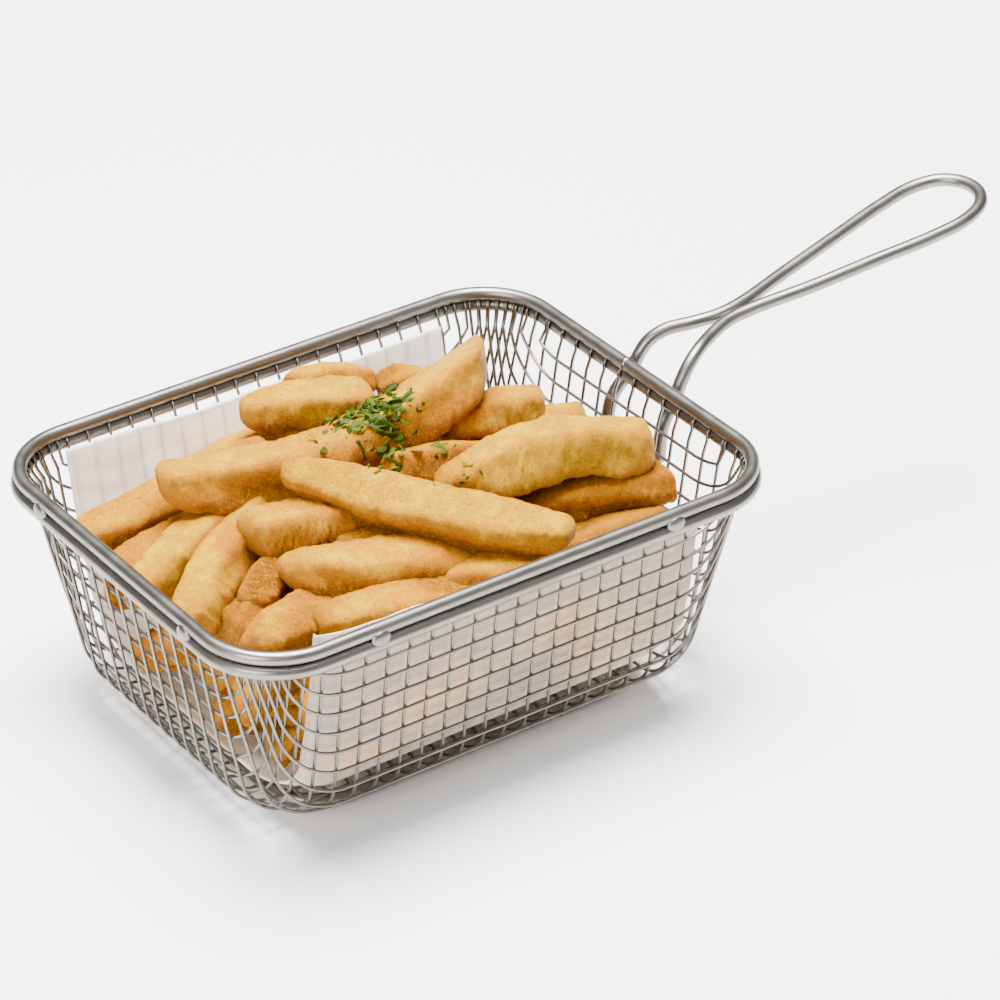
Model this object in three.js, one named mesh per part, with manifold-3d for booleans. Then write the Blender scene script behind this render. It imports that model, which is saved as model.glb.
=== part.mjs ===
// A portion of french fries in the small wire serving basket it comes in.
// Millimetres, +Z up, +X along the handle.  The origin is under the middle of the
// whole thing, on the surface that the foot wire stands on.
import * as THREE from "three";
import { mergeVertices } from "three/addons/utils/BufferGeometryUtils.js";
import Module from "manifold-3d";

const wasm = await Module();
wasm.setup();

// ---- driving dimensions ----
const WIRE = 3.0; // round wire of the rim, the foot and the handle
const WIRE_SIDES = 8;
const GAP = 0.3; // air between touching pieces
const RIM_LENGTH = 130; // top rim, between wire centres
const RIM_WIDTH = 102;
const RIM_CORNER = 16.5;
const HEIGHT = 55; // table to the top of the rim
const LOWER_RIM_OUTSET = 0.5; // the lower rim wire sits this much further out
const FOOT_LENGTH = 88;
const FOOT_WIDTH = 64;
const FOOT_CORNER = 12;
const MESH_WIRE = 1.2; // bar of the simplified mesh
const MESH_PITCH = 10.5; // every second wire of a 5.25 mm square mesh
const WALL_LEAN = 7.5; // how far each wall comes in from rim to floor
const FLOOR_FILLET = 9; // bend between wall and floor
const FLOOR_CORNER = 18; // plan radius of the tray's corners at the floor
const FLOOR_PANEL_UP_TO = 3; // height over the floor to which its cells are the floor's
const SEAM = 0.45; // between two panels of the mesh
const LINER_BEND = 17; // bend of the paper where it leaves the floor
const PAPER = 0.4;
const PAPER_FROM_X = -49;
const PAPER_TO_X = 46;
const FRY_SIDES = 8;

// ---- worked out from them ----
// An octagon whose flats and corners straddle the round wire it stands for.
const wireCorner = (WIRE / 2) * 1.052;
const wireFlat = wireCorner * Math.cos(Math.PI / WIRE_SIDES);
const rimZ = HEIGHT - wireFlat;
const lowerRimZ = rimZ - Math.sqrt((2 * wireCorner + GAP) ** 2 - LOWER_RIM_OUTSET ** 2);
const footZ = wireFlat;
const floorZ = 2 * wireFlat + GAP + MESH_WIRE / 2;
const trayInset = wireCorner + GAP + MESH_WIRE / 2 - LOWER_RIM_OUTSET;
const trayTopZ = lowerRimZ + 1.2;
const trayHeight = trayTopZ - floorZ;

// ---- geometry helpers ----

/** Turn a three.js geometry into a manifold solid: positions only, shared corners merged. */
function toSolid(geometry) {
  const bare = geometry.clone();
  bare.deleteAttribute("normal");
  bare.deleteAttribute("uv");
  const merged = mergeVertices(bare, 1e-3);
  const vertProperties = new Float32Array(merged.attributes.position.array);
  const triVerts = new Uint32Array(merged.index.array);
  return new wasm.Manifold(new wasm.Mesh({ numProp: 3, vertProperties, triVerts }));
}

/** Turn a manifold solid back into a geometry. */
function toGeometry(solid) {
  const mesh = solid.getMesh();
  const geometry = new THREE.BufferGeometry();
  geometry.setAttribute("position", new THREE.BufferAttribute(mesh.vertProperties, 3));
  geometry.setIndex(new THREE.BufferAttribute(mesh.triVerts, 1));
  return geometry;
}

function fromLists(points, triangles) {
  const geometry = new THREE.BufferGeometry();
  geometry.setAttribute("position", new THREE.Float32BufferAttribute(points, 3));
  geometry.setIndex(triangles);
  return geometry;
}

/** Move every vertex of a geometry by a rule from Vector3 to Vector3. */
function reshape(geometry, rule) {
  const position = geometry.attributes.position;
  const v = new THREE.Vector3();
  for (let i = 0; i < position.count; i++) {
    rule(v.fromBufferAttribute(position, i));
    position.setXYZ(i, v.x, v.y, v.z);
  }
  return geometry;
}

/** Stations round a rounded rectangle, each with its outward direction. */
function roundRect(halfX, halfY, radius, stepsPerCorner) {
  const stations = [];
  for (let corner = 0; corner < 4; corner++) {
    const signX = corner === 0 || corner === 3 ? 1 : -1;
    const signY = corner < 2 ? 1 : -1;
    for (let step = 0; step <= stepsPerCorner; step++) {
      const angle = (corner + step / stepsPerCorner) * (Math.PI / 2);
      const nx = Math.cos(angle);
      const ny = Math.sin(angle);
      const x = signX * (halfX - radius) + radius * nx;
      const y = signY * (halfY - radius) + radius * ny;
      stations.push({ x, y, nx, ny });
    }
  }
  return stations;
}

/** A closed wire loop lying flat at height z, its section an octagon with a flat down. */
function wireLoop(stations, z, sectionRadius) {
  const points = [];
  const triangles = [];
  for (const s of stations) {
    for (let k = 0; k < WIRE_SIDES; k++) {
      const angle = ((k + 0.5) / WIRE_SIDES) * 2 * Math.PI;
      const out = sectionRadius * Math.cos(angle);
      points.push(s.x + s.nx * out, s.y + s.ny * out, z + sectionRadius * Math.sin(angle));
    }
  }
  const count = stations.length;
  for (let i = 0; i < count; i++) {
    const next = (i + 1) % count;
    for (let k = 0; k < WIRE_SIDES; k++) {
      const side = (k + 1) % WIRE_SIDES;
      const [a, b] = [i * WIRE_SIDES + k, next * WIRE_SIDES + k];
      const [c, d] = [next * WIRE_SIDES + side, i * WIRE_SIDES + side];
      triangles.push(a, b, c, a, c, d);
    }
  }
  return fromLists(points, triangles);
}

// ---- the two rim wires and their welds ----
const rimStations = roundRect(RIM_LENGTH / 2, RIM_WIDTH / 2, RIM_CORNER, 6);
const topRim = wireLoop(rimStations, rimZ, wireCorner);

const lowerStations = roundRect(
  RIM_LENGTH / 2 + LOWER_RIM_OUTSET,
  RIM_WIDTH / 2 + LOWER_RIM_OUTSET,
  RIM_CORNER + LOWER_RIM_OUTSET,
  6,
);
const WELD_LENGTH = 5.0;
const WELD_HEIGHT = 4.0;
const WELD_DEPTH = 2.6;
const WELD_ALONG_LONG_SIDE = 36; // from the middle of the side
const WELD_ALONG_SHORT_SIDE = 28;

/** A weld bead: a flattened ball in the outer groove between the two rim wires. */
function weldBead(x, y, turned) {
  const bead = new THREE.SphereGeometry(0.5, 6, 4);
  bead.scale(turned ? WELD_DEPTH : WELD_LENGTH, turned ? WELD_LENGTH : WELD_DEPTH, WELD_HEIGHT);
  bead.translate(x, y, (rimZ + lowerRimZ) / 2);
  return toSolid(bead);
}

const rimClearance = toSolid(wireLoop(rimStations, rimZ, wireCorner + GAP));
const beadOut = 1.3; // bead centre, out from the line of the top wire
let lowerRimSolid = toSolid(wireLoop(lowerStations, lowerRimZ, wireCorner));
for (const side of [-1, 1]) {
  for (const along of [-1, 1]) {
    const onLong = weldBead(along * WELD_ALONG_LONG_SIDE, side * (RIM_WIDTH / 2 + beadOut), false);
    const onShort = weldBead(side * (RIM_LENGTH / 2 + beadOut), along * WELD_ALONG_SHORT_SIDE, true);
    lowerRimSolid = lowerRimSolid.add(onLong.subtract(rimClearance));
    lowerRimSolid = lowerRimSolid.add(onShort.subtract(rimClearance));
  }
}
const lowerRim = toGeometry(lowerRimSolid);

// ---- the foot wire ----
const footStations = roundRect(FOOT_LENGTH / 2, FOOT_WIDTH / 2, FOOT_CORNER, 5);
const footRim = wireLoop(footStations, footZ, wireCorner);

// ---- the mesh tray ----
const wallSlope = Math.atan2(WALL_LEAN, trayHeight);

/** Half sizes and corner radius of the tray's wall at a height above its floor. */
function trayPlan(height) {
  const t = height / trayHeight;
  const inset = trayInset + WALL_LEAN * (1 - t);
  return {
    halfX: RIM_LENGTH / 2 - inset,
    halfY: RIM_WIDTH / 2 - inset,
    radius: THREE.MathUtils.lerp(FLOOR_CORNER, RIM_CORNER - trayInset, t),
  };
}

/**
 * How far a point lies outside the tray's middle surface.  The wall is the distance to a
 * rounded rectangle that grows with height, the floor is a plane, and the two are joined
 * by a fillet: the distance to the corner point of both, each brought in by the fillet.
 */
function trayDistance(p) {
  const height = p.z - floorZ;
  const plan = trayPlan(height);
  const qx = Math.abs(p.x) - plan.halfX + plan.radius;
  const qy = Math.abs(p.y) - plan.halfY + plan.radius;
  const outside = Math.hypot(Math.max(qx, 0), Math.max(qy, 0));
  const wall = (outside + Math.min(Math.max(qx, qy), 0) - plan.radius) * Math.cos(wallSlope);
  const u = wall + FLOOR_FILLET;
  const v = FLOOR_FILLET - height;
  return Math.min(Math.max(u, v), 0) + Math.hypot(Math.max(u, 0), Math.max(v, 0)) - FLOOR_FILLET;
}

/** The direction straight out of the tray's surface, by differences. */
function trayNormal(p) {
  const step = 0.01;
  const gradient = new THREE.Vector3();
  for (const axis of ["x", "y", "z"]) {
    const ahead = p.clone();
    const behind = p.clone();
    ahead[axis] += step;
    behind[axis] -= step;
    gradient[axis] = (trayDistance(ahead) - trayDistance(behind)) / (2 * step);
  }
  return gradient;
}

/**
 * The next knot of a net that keeps its wire spacing while it is pressed into the tray.
 * Newton's method on three conditions: one pitch from knot a, one pitch from knot b, and
 * on the surface.
 */
function nextKnot(a, b, guess) {
  const p = guess.clone();
  for (let turn = 0; turn < 25; turn++) {
    const fromA = p.clone().sub(a);
    const fromB = p.clone().sub(b);
    const normal = trayNormal(p);
    const rows = new THREE.Matrix3().set(
      2 * fromA.x, 2 * fromA.y, 2 * fromA.z,
      2 * fromB.x, 2 * fromB.y, 2 * fromB.z,
      normal.x, normal.y, normal.z,
    );
    const misses = new THREE.Vector3(
      fromA.lengthSq() - MESH_PITCH ** 2,
      fromB.lengthSq() - MESH_PITCH ** 2,
      trayDistance(p),
    );
    const move = misses.applyMatrix3(rows.invert());
    p.sub(move.clampLength(0, MESH_PITCH / 3));
    if (move.length() < 1e-6) return p;
  }
  return null;
}

/** One pitch further along a wire that stays in the plane x = 0 or y = 0. */
function nextAxisKnot(last, axis) {
  let low = 0;
  let high = Math.PI / 2 + 0.2;
  const at = (angle) => {
    const p = last.clone();
    p[axis] += MESH_PITCH * Math.cos(angle);
    p.z += MESH_PITCH * Math.sin(angle);
    return p;
  };
  for (let turn = 0; turn < 50; turn++) {
    const middle = (low + high) / 2;
    if (trayDistance(at(middle)) > 0) low = middle;
    else high = middle;
  }
  return at((low + high) / 2);
}

/** Knots of one quarter of the net, up to a little above the tray's rim. */
function netQuarter() {
  const limit = trayTopZ + 0.9 * MESH_PITCH;
  const rows = [[new THREE.Vector3(0, 0, floorZ)]];
  while (rows[0].at(-1).z < trayTopZ) rows[0].push(nextAxisKnot(rows[0].at(-1), "x"));
  for (let j = 1; ; j++) {
    const below = rows[j - 1];
    if (below[0].z > trayTopZ) break;
    const row = [nextAxisKnot(below[0], "y")];
    for (let i = 1; i < below.length; i++) {
      const across = row[i - 1];
      const guess = across.clone().add(below[i]).sub(below[i - 1]);
      const knot = nextKnot(across, below[i], guess);
      if (!knot || knot.z > limit) break;
      row.push(knot);
    }
    rows.push(row);
  }
  return rows;
}

const netKnots = netQuarter();

/** A knot of the whole net by its wire numbers, or null past its edge. */
function knotAt(i, j) {
  const p = netKnots[Math.abs(j)]?.[Math.abs(i)];
  return p ? new THREE.Vector3(Math.sign(i) * p.x, Math.sign(j) * p.y, p.z) : null;
}

/** The four knots round a cell, or null where one of them is past the net's edge. */
function cellCorners(i, j) {
  const corners = [[i, j], [i, j + 1], [i + 1, j + 1], [i + 1, j]].map(([u, v]) => knotAt(u, v));
  return corners.includes(null) ? null : corners;
}

function middleOf(corners) {
  return corners.reduce((sum, p) => sum.add(p), new THREE.Vector3()).divideScalar(4);
}

/** The panel that a cell belongs to: the floor, one of the four walls or half a corner. */
function panelOf(middle) {
  const height = middle.z - floorZ;
  if (height < FLOOR_PANEL_UP_TO) return "mesh_floor";
  const plan = trayPlan(height);
  const pastX = Math.abs(middle.x) - plan.halfX + plan.radius;
  const pastY = Math.abs(middle.y) - plan.halfY + plan.radius;
  const end = middle.x > 0 ? "handle_end" : "plain_end";
  const side = middle.y > 0 ? "back" : "front";
  if (pastX > 0 && pastY > 0) return `mesh_corner_${side}_${end}_${pastX > pastY ? 1 : 2}`;
  return pastX > pastY ? `mesh_${end}` : `mesh_${side}`;
}

/** All cells of the net, as lists of [i, j] by the name of their panel. */
function panelCells() {
  const panels = new Map();
  const reachX = netKnots[0].length - 1;
  const reachY = netKnots.length - 1;
  for (let i = -reachX; i < reachX; i++) {
    for (let j = -reachY; j < reachY; j++) {
      const corners = cellCorners(i, j);
      if (!corners || Math.min(...corners.map((p) => p.z)) > trayTopZ - MESH_WIRE) continue;
      const name = panelOf(middleOf(corners));
      if (!panels.has(name)) panels.set(name, []);
      panels.get(name).push([i, j]);
    }
  }
  return panels;
}

/** How far a knot on a panel's edge is drawn in: half a seam from both edges that meet there. */
function drawnIn(i, j, has) {
  const p = knotAt(i, j);
  const edges = [
    { end: [i + 1, j], cells: [[i, j - 1], [i, j]] },
    { end: [i, j + 1], cells: [[i, j], [i - 1, j]] },
    { end: [i - 1, j], cells: [[i - 1, j], [i - 1, j - 1]] },
    { end: [i, j - 1], cells: [[i - 1, j - 1], [i, j - 1]] },
  ];
  const inward = [];
  for (const { end, cells } of edges) {
    const own = cells.filter((cell) => has(...cell));
    if (own.length !== 1) continue;
    const along = knotAt(...end).sub(p).normalize();
    inward.push(middleOf(cellCorners(...own[0])).sub(p).projectOnPlane(along).normalize());
  }
  if (inward.length !== 2) return new THREE.Vector3();
  const reach = SEAM / 2 / (1 + inward[0].dot(inward[1]));
  return inward[0].add(inward[1]).multiplyScalar(reach);
}

/**
 * One panel of the mesh as a lattice of three-sided bars.  Each cell of the net is a
 * four-sided frame, flat outside, with a hole whose corners lie half a bar in from both
 * wires.  Inside, the frame slopes to a ridge along the wires.  The panel's edge is closed
 * by a wall, and its knots are drawn in a little, which leaves a seam to the next panel.
 */
function latticePanel(cells) {
  const points = [];
  const triangles = [];
  const knotIndex = new Map();
  const half = MESH_WIRE / 2;
  const own = new Set(cells.map((cell) => cell.join()));
  const has = (i, j) => own.has(`${i},${j}`);

  const pushPoint = (p, normal, offset) => {
    points.push(...p.clone().addScaledVector(normal, offset));
    return points.length / 3 - 1;
  };
  const indexOf = (i, j) => {
    const key = `${i},${j}`;
    if (!knotIndex.has(key)) {
      const p = knotAt(i, j);
      const normal = trayNormal(p).normalize();
      p.add(drawnIn(i, j, has));
      knotIndex.set(key, pushPoint(p, normal, half));
      pushPoint(p, normal, -half);
    }
    return knotIndex.get(key);
  };
  const quad = (a, b, c, d) => triangles.push(a, b, c, a, c, d);

  for (const [i, j] of cells) {
    const corners = cellCorners(i, j);
    const outer = [[i, j], [i, j + 1], [i + 1, j + 1], [i + 1, j]].map(([u, v]) => indexOf(u, v));
    const facing = trayNormal(middleOf(corners)).normalize();
    const hole = corners.map((p, k) => {
      const ahead = corners[(k + 1) % 4].clone().sub(p).normalize();
      const behind = corners[(k + 3) % 4].clone().sub(p).normalize();
      const sine = Math.sin(ahead.angleTo(behind));
      return pushPoint(p.clone().addScaledVector(ahead.add(behind), half / sine), facing, half);
    });
    const neighbours = [[i - 1, j], [i, j + 1], [i + 1, j], [i, j - 1]];
    for (let k = 0; k < 4; k++) {
      const n = (k + 1) % 4;
      quad(outer[k], outer[n], hole[n], hole[k]);
      quad(hole[k], hole[n], outer[n] + 1, outer[k] + 1);
      if (!has(...neighbours[k])) quad(outer[n], outer[k], outer[k] + 1, outer[n] + 1);
    }
  }
  return fromLists(points, triangles);
}

const belowRim = new THREE.BoxGeometry(2 * RIM_LENGTH, 2 * RIM_WIDTH, trayTopZ);
belowRim.translate(0, 0, trayTopZ / 2);

/** A panel cut off level under the rim. */
function meshPanel(cells) {
  return toGeometry(toSolid(latticePanel(cells)).intersect(toSolid(belowRim)));
}

// ---- the paper liner ----
/**
 * The foot of a section inside the tray, `inset` from it, with a rounder bend of its own.
 * Each station has its height over the tray's floor and how far it is in from the wall.
 */
function bendInside(inset, lift, steps) {
  const reach = LINER_BEND - inset;
  return Array.from({ length: steps + 1 }, (_, k) => {
    const angle = ((k / steps) * Math.PI) / 2;
    const height = LINER_BEND - (reach - lift) * Math.cos(angle);
    return { height, pulledIn: (LINER_BEND - reach * Math.sin(angle)) / Math.cos(wallSlope) };
  });
}

/**
 * Points across the basket, from the front edge of the paper down its wall, over the floor
 * and up the back wall.  It lies inside the mesh by `inset`, and by `lift` more on the floor.
 */
function linerSection(x, inset, lift, frontTop, backTop) {
  const wallSteps = 2;
  const bendSteps = 4;
  const floorSteps = 3;
  const [front, back] = [[-1, frontTop], [1, backTop]].map(([side, top]) => {
    const stations = bendInside(inset, lift, bendSteps);
    const wallFrom = stations.at(-1).height;
    for (let k = 1; k <= wallSteps; k++) {
      const height = THREE.MathUtils.lerp(wallFrom, top - floorZ, k / wallSteps);
      stations.push({ height, pulledIn: inset / Math.cos(wallSlope) });
    }
    return stations.map(({ height, pulledIn }) => {
      const plan = trayPlan(height);
      const intoCorner = Math.max(0, Math.abs(x) - plan.halfX + plan.radius);
      const radius = plan.radius - inset;
      const rounded = radius - Math.sqrt(radius ** 2 - intoCorner ** 2);
      const y = side * (plan.halfY - pulledIn - rounded);
      return new THREE.Vector3(x, y, floorZ + height);
    });
  });
  const floor = [];
  for (let k = 1; k < floorSteps; k++) floor.push(front[0].clone().lerp(back[0], k / floorSteps));
  return [...front.reverse(), ...floor, ...back];
}

const PAPER_BACK_Z = [51.5, 49]; // its top edges, from the plain end to the handle end
const PAPER_FRONT_Z = [54.5, 50];
const PAPER_RUFFLE = 0.3;
const BAR_SAG = 0.45; // how far a straight bar of the mesh cuts inside its bends
const paperInset = MESH_WIRE / 2 + GAP + PAPER / 2 + PAPER_RUFFLE + BAR_SAG;

/** How much higher the paper lies towards the tray's rounded ends. */
function paperLift(x) {
  return 0.35 * Math.max(0, Math.abs(x) - 39);
}

/** The paper: a grid of stations, ruffled a little, with two faces and a border. */
function paperLiner() {
  const columns = 7;
  const sheets = [1, -1].map((face) => {
    const grid = [];
    for (let c = 0; c <= columns; c++) {
      const t = c / columns;
      const x = THREE.MathUtils.lerp(PAPER_FROM_X, PAPER_TO_X, t);
      const inset = paperInset + PAPER_RUFFLE * Math.sin(t * 11) - (face * PAPER) / 2;
      const front = THREE.MathUtils.lerp(...PAPER_FRONT_Z, t);
      const back = THREE.MathUtils.lerp(...PAPER_BACK_Z, t);
      grid.push(linerSection(x, inset, paperLift(x), front, back));
    }
    return grid;
  });
  const rows = sheets[0][0].length;
  const points = sheets.flatMap((grid) => grid.flatMap((row) => row.flatMap((p) => p.toArray())));
  const at = (face, c, r) => (face * (columns + 1) + c) * rows + r;
  const triangles = [];
  const quad = (a, b, c, d) => triangles.push(a, b, c, a, c, d);
  for (let c = 0; c < columns; c++) {
    for (let r = 0; r < rows - 1; r++) {
      quad(at(0, c, r), at(0, c, r + 1), at(0, c + 1, r + 1), at(0, c + 1, r));
      quad(at(1, c, r), at(1, c + 1, r), at(1, c + 1, r + 1), at(1, c, r + 1));
    }
    quad(at(0, c, 0), at(0, c + 1, 0), at(1, c + 1, 0), at(1, c, 0));
    quad(at(0, c + 1, rows - 1), at(0, c, rows - 1), at(1, c, rows - 1), at(1, c + 1, rows - 1));
  }
  for (let r = 0; r < rows - 1; r++) {
    quad(at(0, 0, r + 1), at(0, 0, r), at(1, 0, r), at(1, 0, r + 1));
    quad(at(0, columns, r), at(0, columns, r + 1), at(1, columns, r + 1), at(1, columns, r));
  }
  return fromLists(points, triangles);
}

// ---- the handle ----
// Half of the bent wire, from the welded end on the wall, over the rim, in to the pinched
// neck and out to the tip.  The other half is its mirror image.  Points are [x, y, z] with x
// from the middle of the basket and z from the rim's wire centre.
const HANDLE_HALF = [
  [63.6, 9.4, -17],
  [64.5, 9.0, -11],
  [66.1, 8.5, -7.8],
  [68.9, 8.0, -5.0],
  [70.3, 7.6, -2.0],
  [72.8, 7.1, 1.6],
  [76.5, 5.8, 3.9],
  [82.5, 3.2, 5.0],
  [88.0, 1.95, 5.8],
  [94.0, 2.05, 6.6],
  [108.0, 4.3, 8.6],
  [124.0, 6.8, 11.2],
  [138.0, 9.0, 13.4],
  [147.5, 9.4, 15.0],
  [153.6, 7.0, 16.0],
  [156.6, 2.6, 16.4],
];
const HANDLE_STEPS = 56;
const handlePoints = [
  ...HANDLE_HALF.map(([x, y, z]) => new THREE.Vector3(x, -y, z)),
  ...HANDLE_HALF.toReversed().map(([x, y, z]) => new THREE.Vector3(x, y, z)),
];
const wireSection = new THREE.Shape(
  Array.from({ length: WIRE_SIDES }, (_, k) => {
    const angle = ((k + 0.5) / WIRE_SIDES) * 2 * Math.PI;
    return new THREE.Vector2(wireCorner * Math.cos(angle), wireCorner * Math.sin(angle));
  }),
);
const handleWire = new THREE.ExtrudeGeometry(wireSection, {
  steps: HANDLE_STEPS,
  curveSegments: 1,
  extrudePath: new THREE.CatmullRomCurve3(handlePoints, false, "centripetal"),
});
handleWire.translate(0, 0, rimZ);

// ---- the heap of fries ----
/** A repeatable random number in 0..1. */
function seeded(seed) {
  let state = seed;
  return () => {
    state = (state * 1664525 + 1013904223) % 4294967296;
    return state / 4294967296;
  };
}
const random = seeded(7);

/**
 * One fry between two tips: an eight-sided, nearly square bar that narrows to blunt ends
 * and whose middle rises by `rise`.  Its section turns by a random quarter at most.
 */
function fry([x0, y0, z0, x1, y1, z1, width, rise = 0]) {
  const from = new THREE.Vector3(x0, y0, z0 + rimZ);
  const to = new THREE.Vector3(x1, y1, z1 + rimZ);
  const along = to.clone().sub(from);
  const length = along.length();
  const frame = new THREE.Quaternion().setFromUnitVectors(
    new THREE.Vector3(0, 1, 0),
    along.clone().normalize(),
  );
  const roll = (random() - 0.5) * (Math.PI / 2);
  const blunt = 0.45 + 0.25 * random();
  const bar = new THREE.CylinderGeometry(1, 1, 2, FRY_SIDES, 4);
  const ends = [0, 0.08, 0.5, 0.92, 1]; // where the rings of the bar lie along it
  return reshape(bar, (v) => {
    const t = ends[Math.round((v.y + 1) * 2)];
    const fullness = t === 0 || t === 1 ? blunt : t < 0.1 || t > 0.9 ? 0.86 : 1;
    const square = 1 / Math.max(Math.abs(v.x), Math.abs(v.z), 0.85);
    const radius = (width / 2) * fullness * square;
    const [c, s] = [Math.cos(roll), Math.sin(roll)];
    v.set((v.x * c - v.z * s) * radius, (t - 0.5) * length, (v.x * s + v.z * c) * radius);
    v.applyQuaternion(frame).add(from).addScaledVector(along, 0.5);
    v.z += rise * Math.sin(Math.PI * t);
  });
}

// Tips of the fries that show, [x y z, x y z, width, rise]: x and y from the middle of the
// basket, z from the rim's wire centre, and how far the middle lies above the straight line.
const TOP_FRIES = [
  [-41.1, 22, -2, 33.2, 11, 8, 13.4, -7],
  [-22.6, 5.2, 4, 18.5, -40.7, -4, 11, -2],
  [-12.1, 37.1, -2, 11.5, 24.6, 0, 9.6, 0.5],
  [3.7, 44, -2.5, 18.3, 30.6, -0.5, 7.6, 0.4],
  [17.4, 29.7, -2, 27.9, 25.3, -1, 7.5, 0.5],
  [20.9, 10.6, -4, 45, 6.1, -4, 9.8, 1],
  [2.5, 6.3, -5, 32.8, -4.4, -9, 9.8, 0.8],
  [9.8, -4.8, -8, 53.8, -21.3, -5, 12.6, 5],
  [24.6, -13.3, -15, 55.6, -23.9, -11.5, 10.6, 1],
  [20, -23.4, -19.5, 51.7, -24.9, -19, 9.8, 0.5],
  [39.7, 13.6, -15, 56.8, 7.5, -12, 8.8, 0.5],
  [-56.7, 31.9, -14, -9.5, 29.7, -8, 10.8, -1.5],
  [-55.4, 21.1, -18, -28.3, 22.6, -15, 9.5, 0],
  [-58.2, 4.7, -14, -25.2, 18.7, -9, 9.5, 0.8],
  [-55.1, -10.3, -14.5, -25.4, 11.9, -7, 9.3, 0.5],
  [-33.7, 1, -6, -9.1, -4.8, -6, 11.6, 0.8],
  [-40.2, -10, -16, -24, -2.3, -12.5, 9.4, 0.5],
  [-22, 9, -16, -22, -9, -18, 9, 0],
  [-33.5, -12.6, -8, 10, -26.9, -13, 13, -0.7],
  [-19, -11, -10, 4, -15, -10, 9, 0.5],
  [-6.5, -28.6, -12, 19.4, -37.4, -14, 10.4, 0.5],
  [-34.5, -25.7, -13, 6.4, -36.2, -16, 9.6, 0.5],
  [-47.6, -23.4, -14, -21, -17.8, -17, 11.2, 0],
  [-42.6, 0.2, -19, -42.4, -20.1, -19, 10, 0.5],
];
// Fries that show through the mesh of the plain end, lying one above the other.
const END_FRIES = [
  [-54, 26, -25, -24, 20, -22, 10],
  [-55, 0, -26, -25, 6, -24, 10],
  [-53, -24, -27, -26, -16, -22, 10],
  [-52, 14, -36, -22, 10, -34, 10],
  [-51, -12, -37, -22, -14, -35, 10],
  [-46, -25, -40, -20, -18, -37, 10],
  [-47, 25, -42, -18, 16, -40, 9],
];
// Fries of the slope towards the handle and of the back, under the ones on top.
const SLOPE_FRIES = [
  [6, 24, -20, 50, 20, -23, 10],
  [8, 3, -22, 52, 0, -25, 10],
  [4, -14, -25, 49, -17, -28, 10],
  [2, 14, -32, 47, 10, -36, 10],
  [0, -4, -34, 46, -8, -38, 10],
  [-4, -24, -35, 40, -24, -38, 10],
  [-6, 28, -36, 38, 27, -38, 10],
  [-24, 39, -15, 16, 38, -12, 10],
  [14, 32, -14, 46, 21, -15, 9],
  [-48, 37, -24, -6, 37, -24, 9],
  [-2, 37, -26, 36, 33, -28, 9],
  [-44, -34, -27, 2, -35, -26, 9],
];

/** The core: a ball squared off towards a box, wider at the top as the tray is. */
function heapCore() {
  const from = new THREE.Vector3(-48, -30, -48);
  const to = new THREE.Vector3(38, 32, -10);
  const core = new THREE.SphereGeometry(1, 18, 10);
  core.rotateX(Math.PI / 2);
  return reshape(core, (v) => {
    const norm = (Math.abs(v.x) ** 4 + Math.abs(v.y) ** 4 + Math.abs(v.z) ** 3) ** 0.25;
    v.divideScalar(norm);
    const flare = 1 + 0.1 * v.z;
    v.x = THREE.MathUtils.lerp(from.x, to.x, (v.x * flare + 1) / 2);
    v.y = THREE.MathUtils.lerp(from.y, to.y, (v.y * flare + 1) / 2);
    v.z = THREE.MathUtils.lerp(from.z, to.z, (v.z + 1) / 2) + rimZ;
  });
}

const ROOM_LIFT = 2; // over the flat of the paper, for its lifted ends

/** The room inside the paper and the mesh, as a stack of rounded rectangles. */
function heapRoom() {
  const inset = paperInset + PAPER_RUFFLE + PAPER / 2 + GAP + 0.1;
  const levels = bendInside(inset, ROOM_LIFT, 4).map((s) => [s.height, s.pulledIn]);
  for (const height of [(LINER_BEND + trayHeight) / 2, trayHeight, trayHeight + 25]) {
    levels.push([height, inset / Math.cos(wallSlope)]);
  }
  const rings = levels.map(([height, pulledIn]) => {
    const plan = trayPlan(Math.min(height, trayHeight));
    const radius = Math.max(plan.radius - pulledIn, 6);
    const ring = roundRect(plan.halfX - pulledIn, plan.halfY - pulledIn, radius, 4);
    return ring.map((s) => [s.x, s.y, floorZ + height]);
  });
  const count = rings[0].length;
  const points = rings.flat(2);
  const last = (rings.length - 1) * count;
  points.push(0, 0, rings[0][0][2], 0, 0, rings.at(-1)[0][2]);
  const bottom = rings.length * count;
  const triangles = [];
  for (let i = 0; i < count; i++) {
    const n = (i + 1) % count;
    triangles.push(bottom, n, i, bottom + 1, last + i, last + n);
    for (let r = 0; r < last; r += count) {
      triangles.push(r + i, r + n, r + count + n, r + i, r + count + n, r + count + i);
    }
  }
  return fromLists(points, triangles);
}

/** A parsley flake: a six-sided leaf half a millimetre thick, cupped and turned. */
function flake(x, y, z, size) {
  const turn = random() * Math.PI * 2;
  const tilt = (random() - 0.5) * 0.7;
  const leaf = new THREE.CylinderGeometry(size * 0.6, size * 0.6, 0.6, 6, 1);
  reshape(leaf, (v) => {
    v.x *= 0.55 + 0.35 * Math.cos(2 * v.z);
    v.y += 0.06 * v.z * v.z - 0.1 * v.x * v.x;
  });
  leaf.rotateX(Math.PI / 2 + tilt);
  leaf.rotateZ(turn);
  leaf.translate(x, y, z + rimZ);
  return leaf;
}

let heap = toSolid(heapCore());
for (const tips of [...TOP_FRIES, ...END_FRIES, ...SLOPE_FRIES]) heap = heap.add(toSolid(fry(tips)));
heap = heap.intersect(toSolid(heapRoom()));

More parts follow.
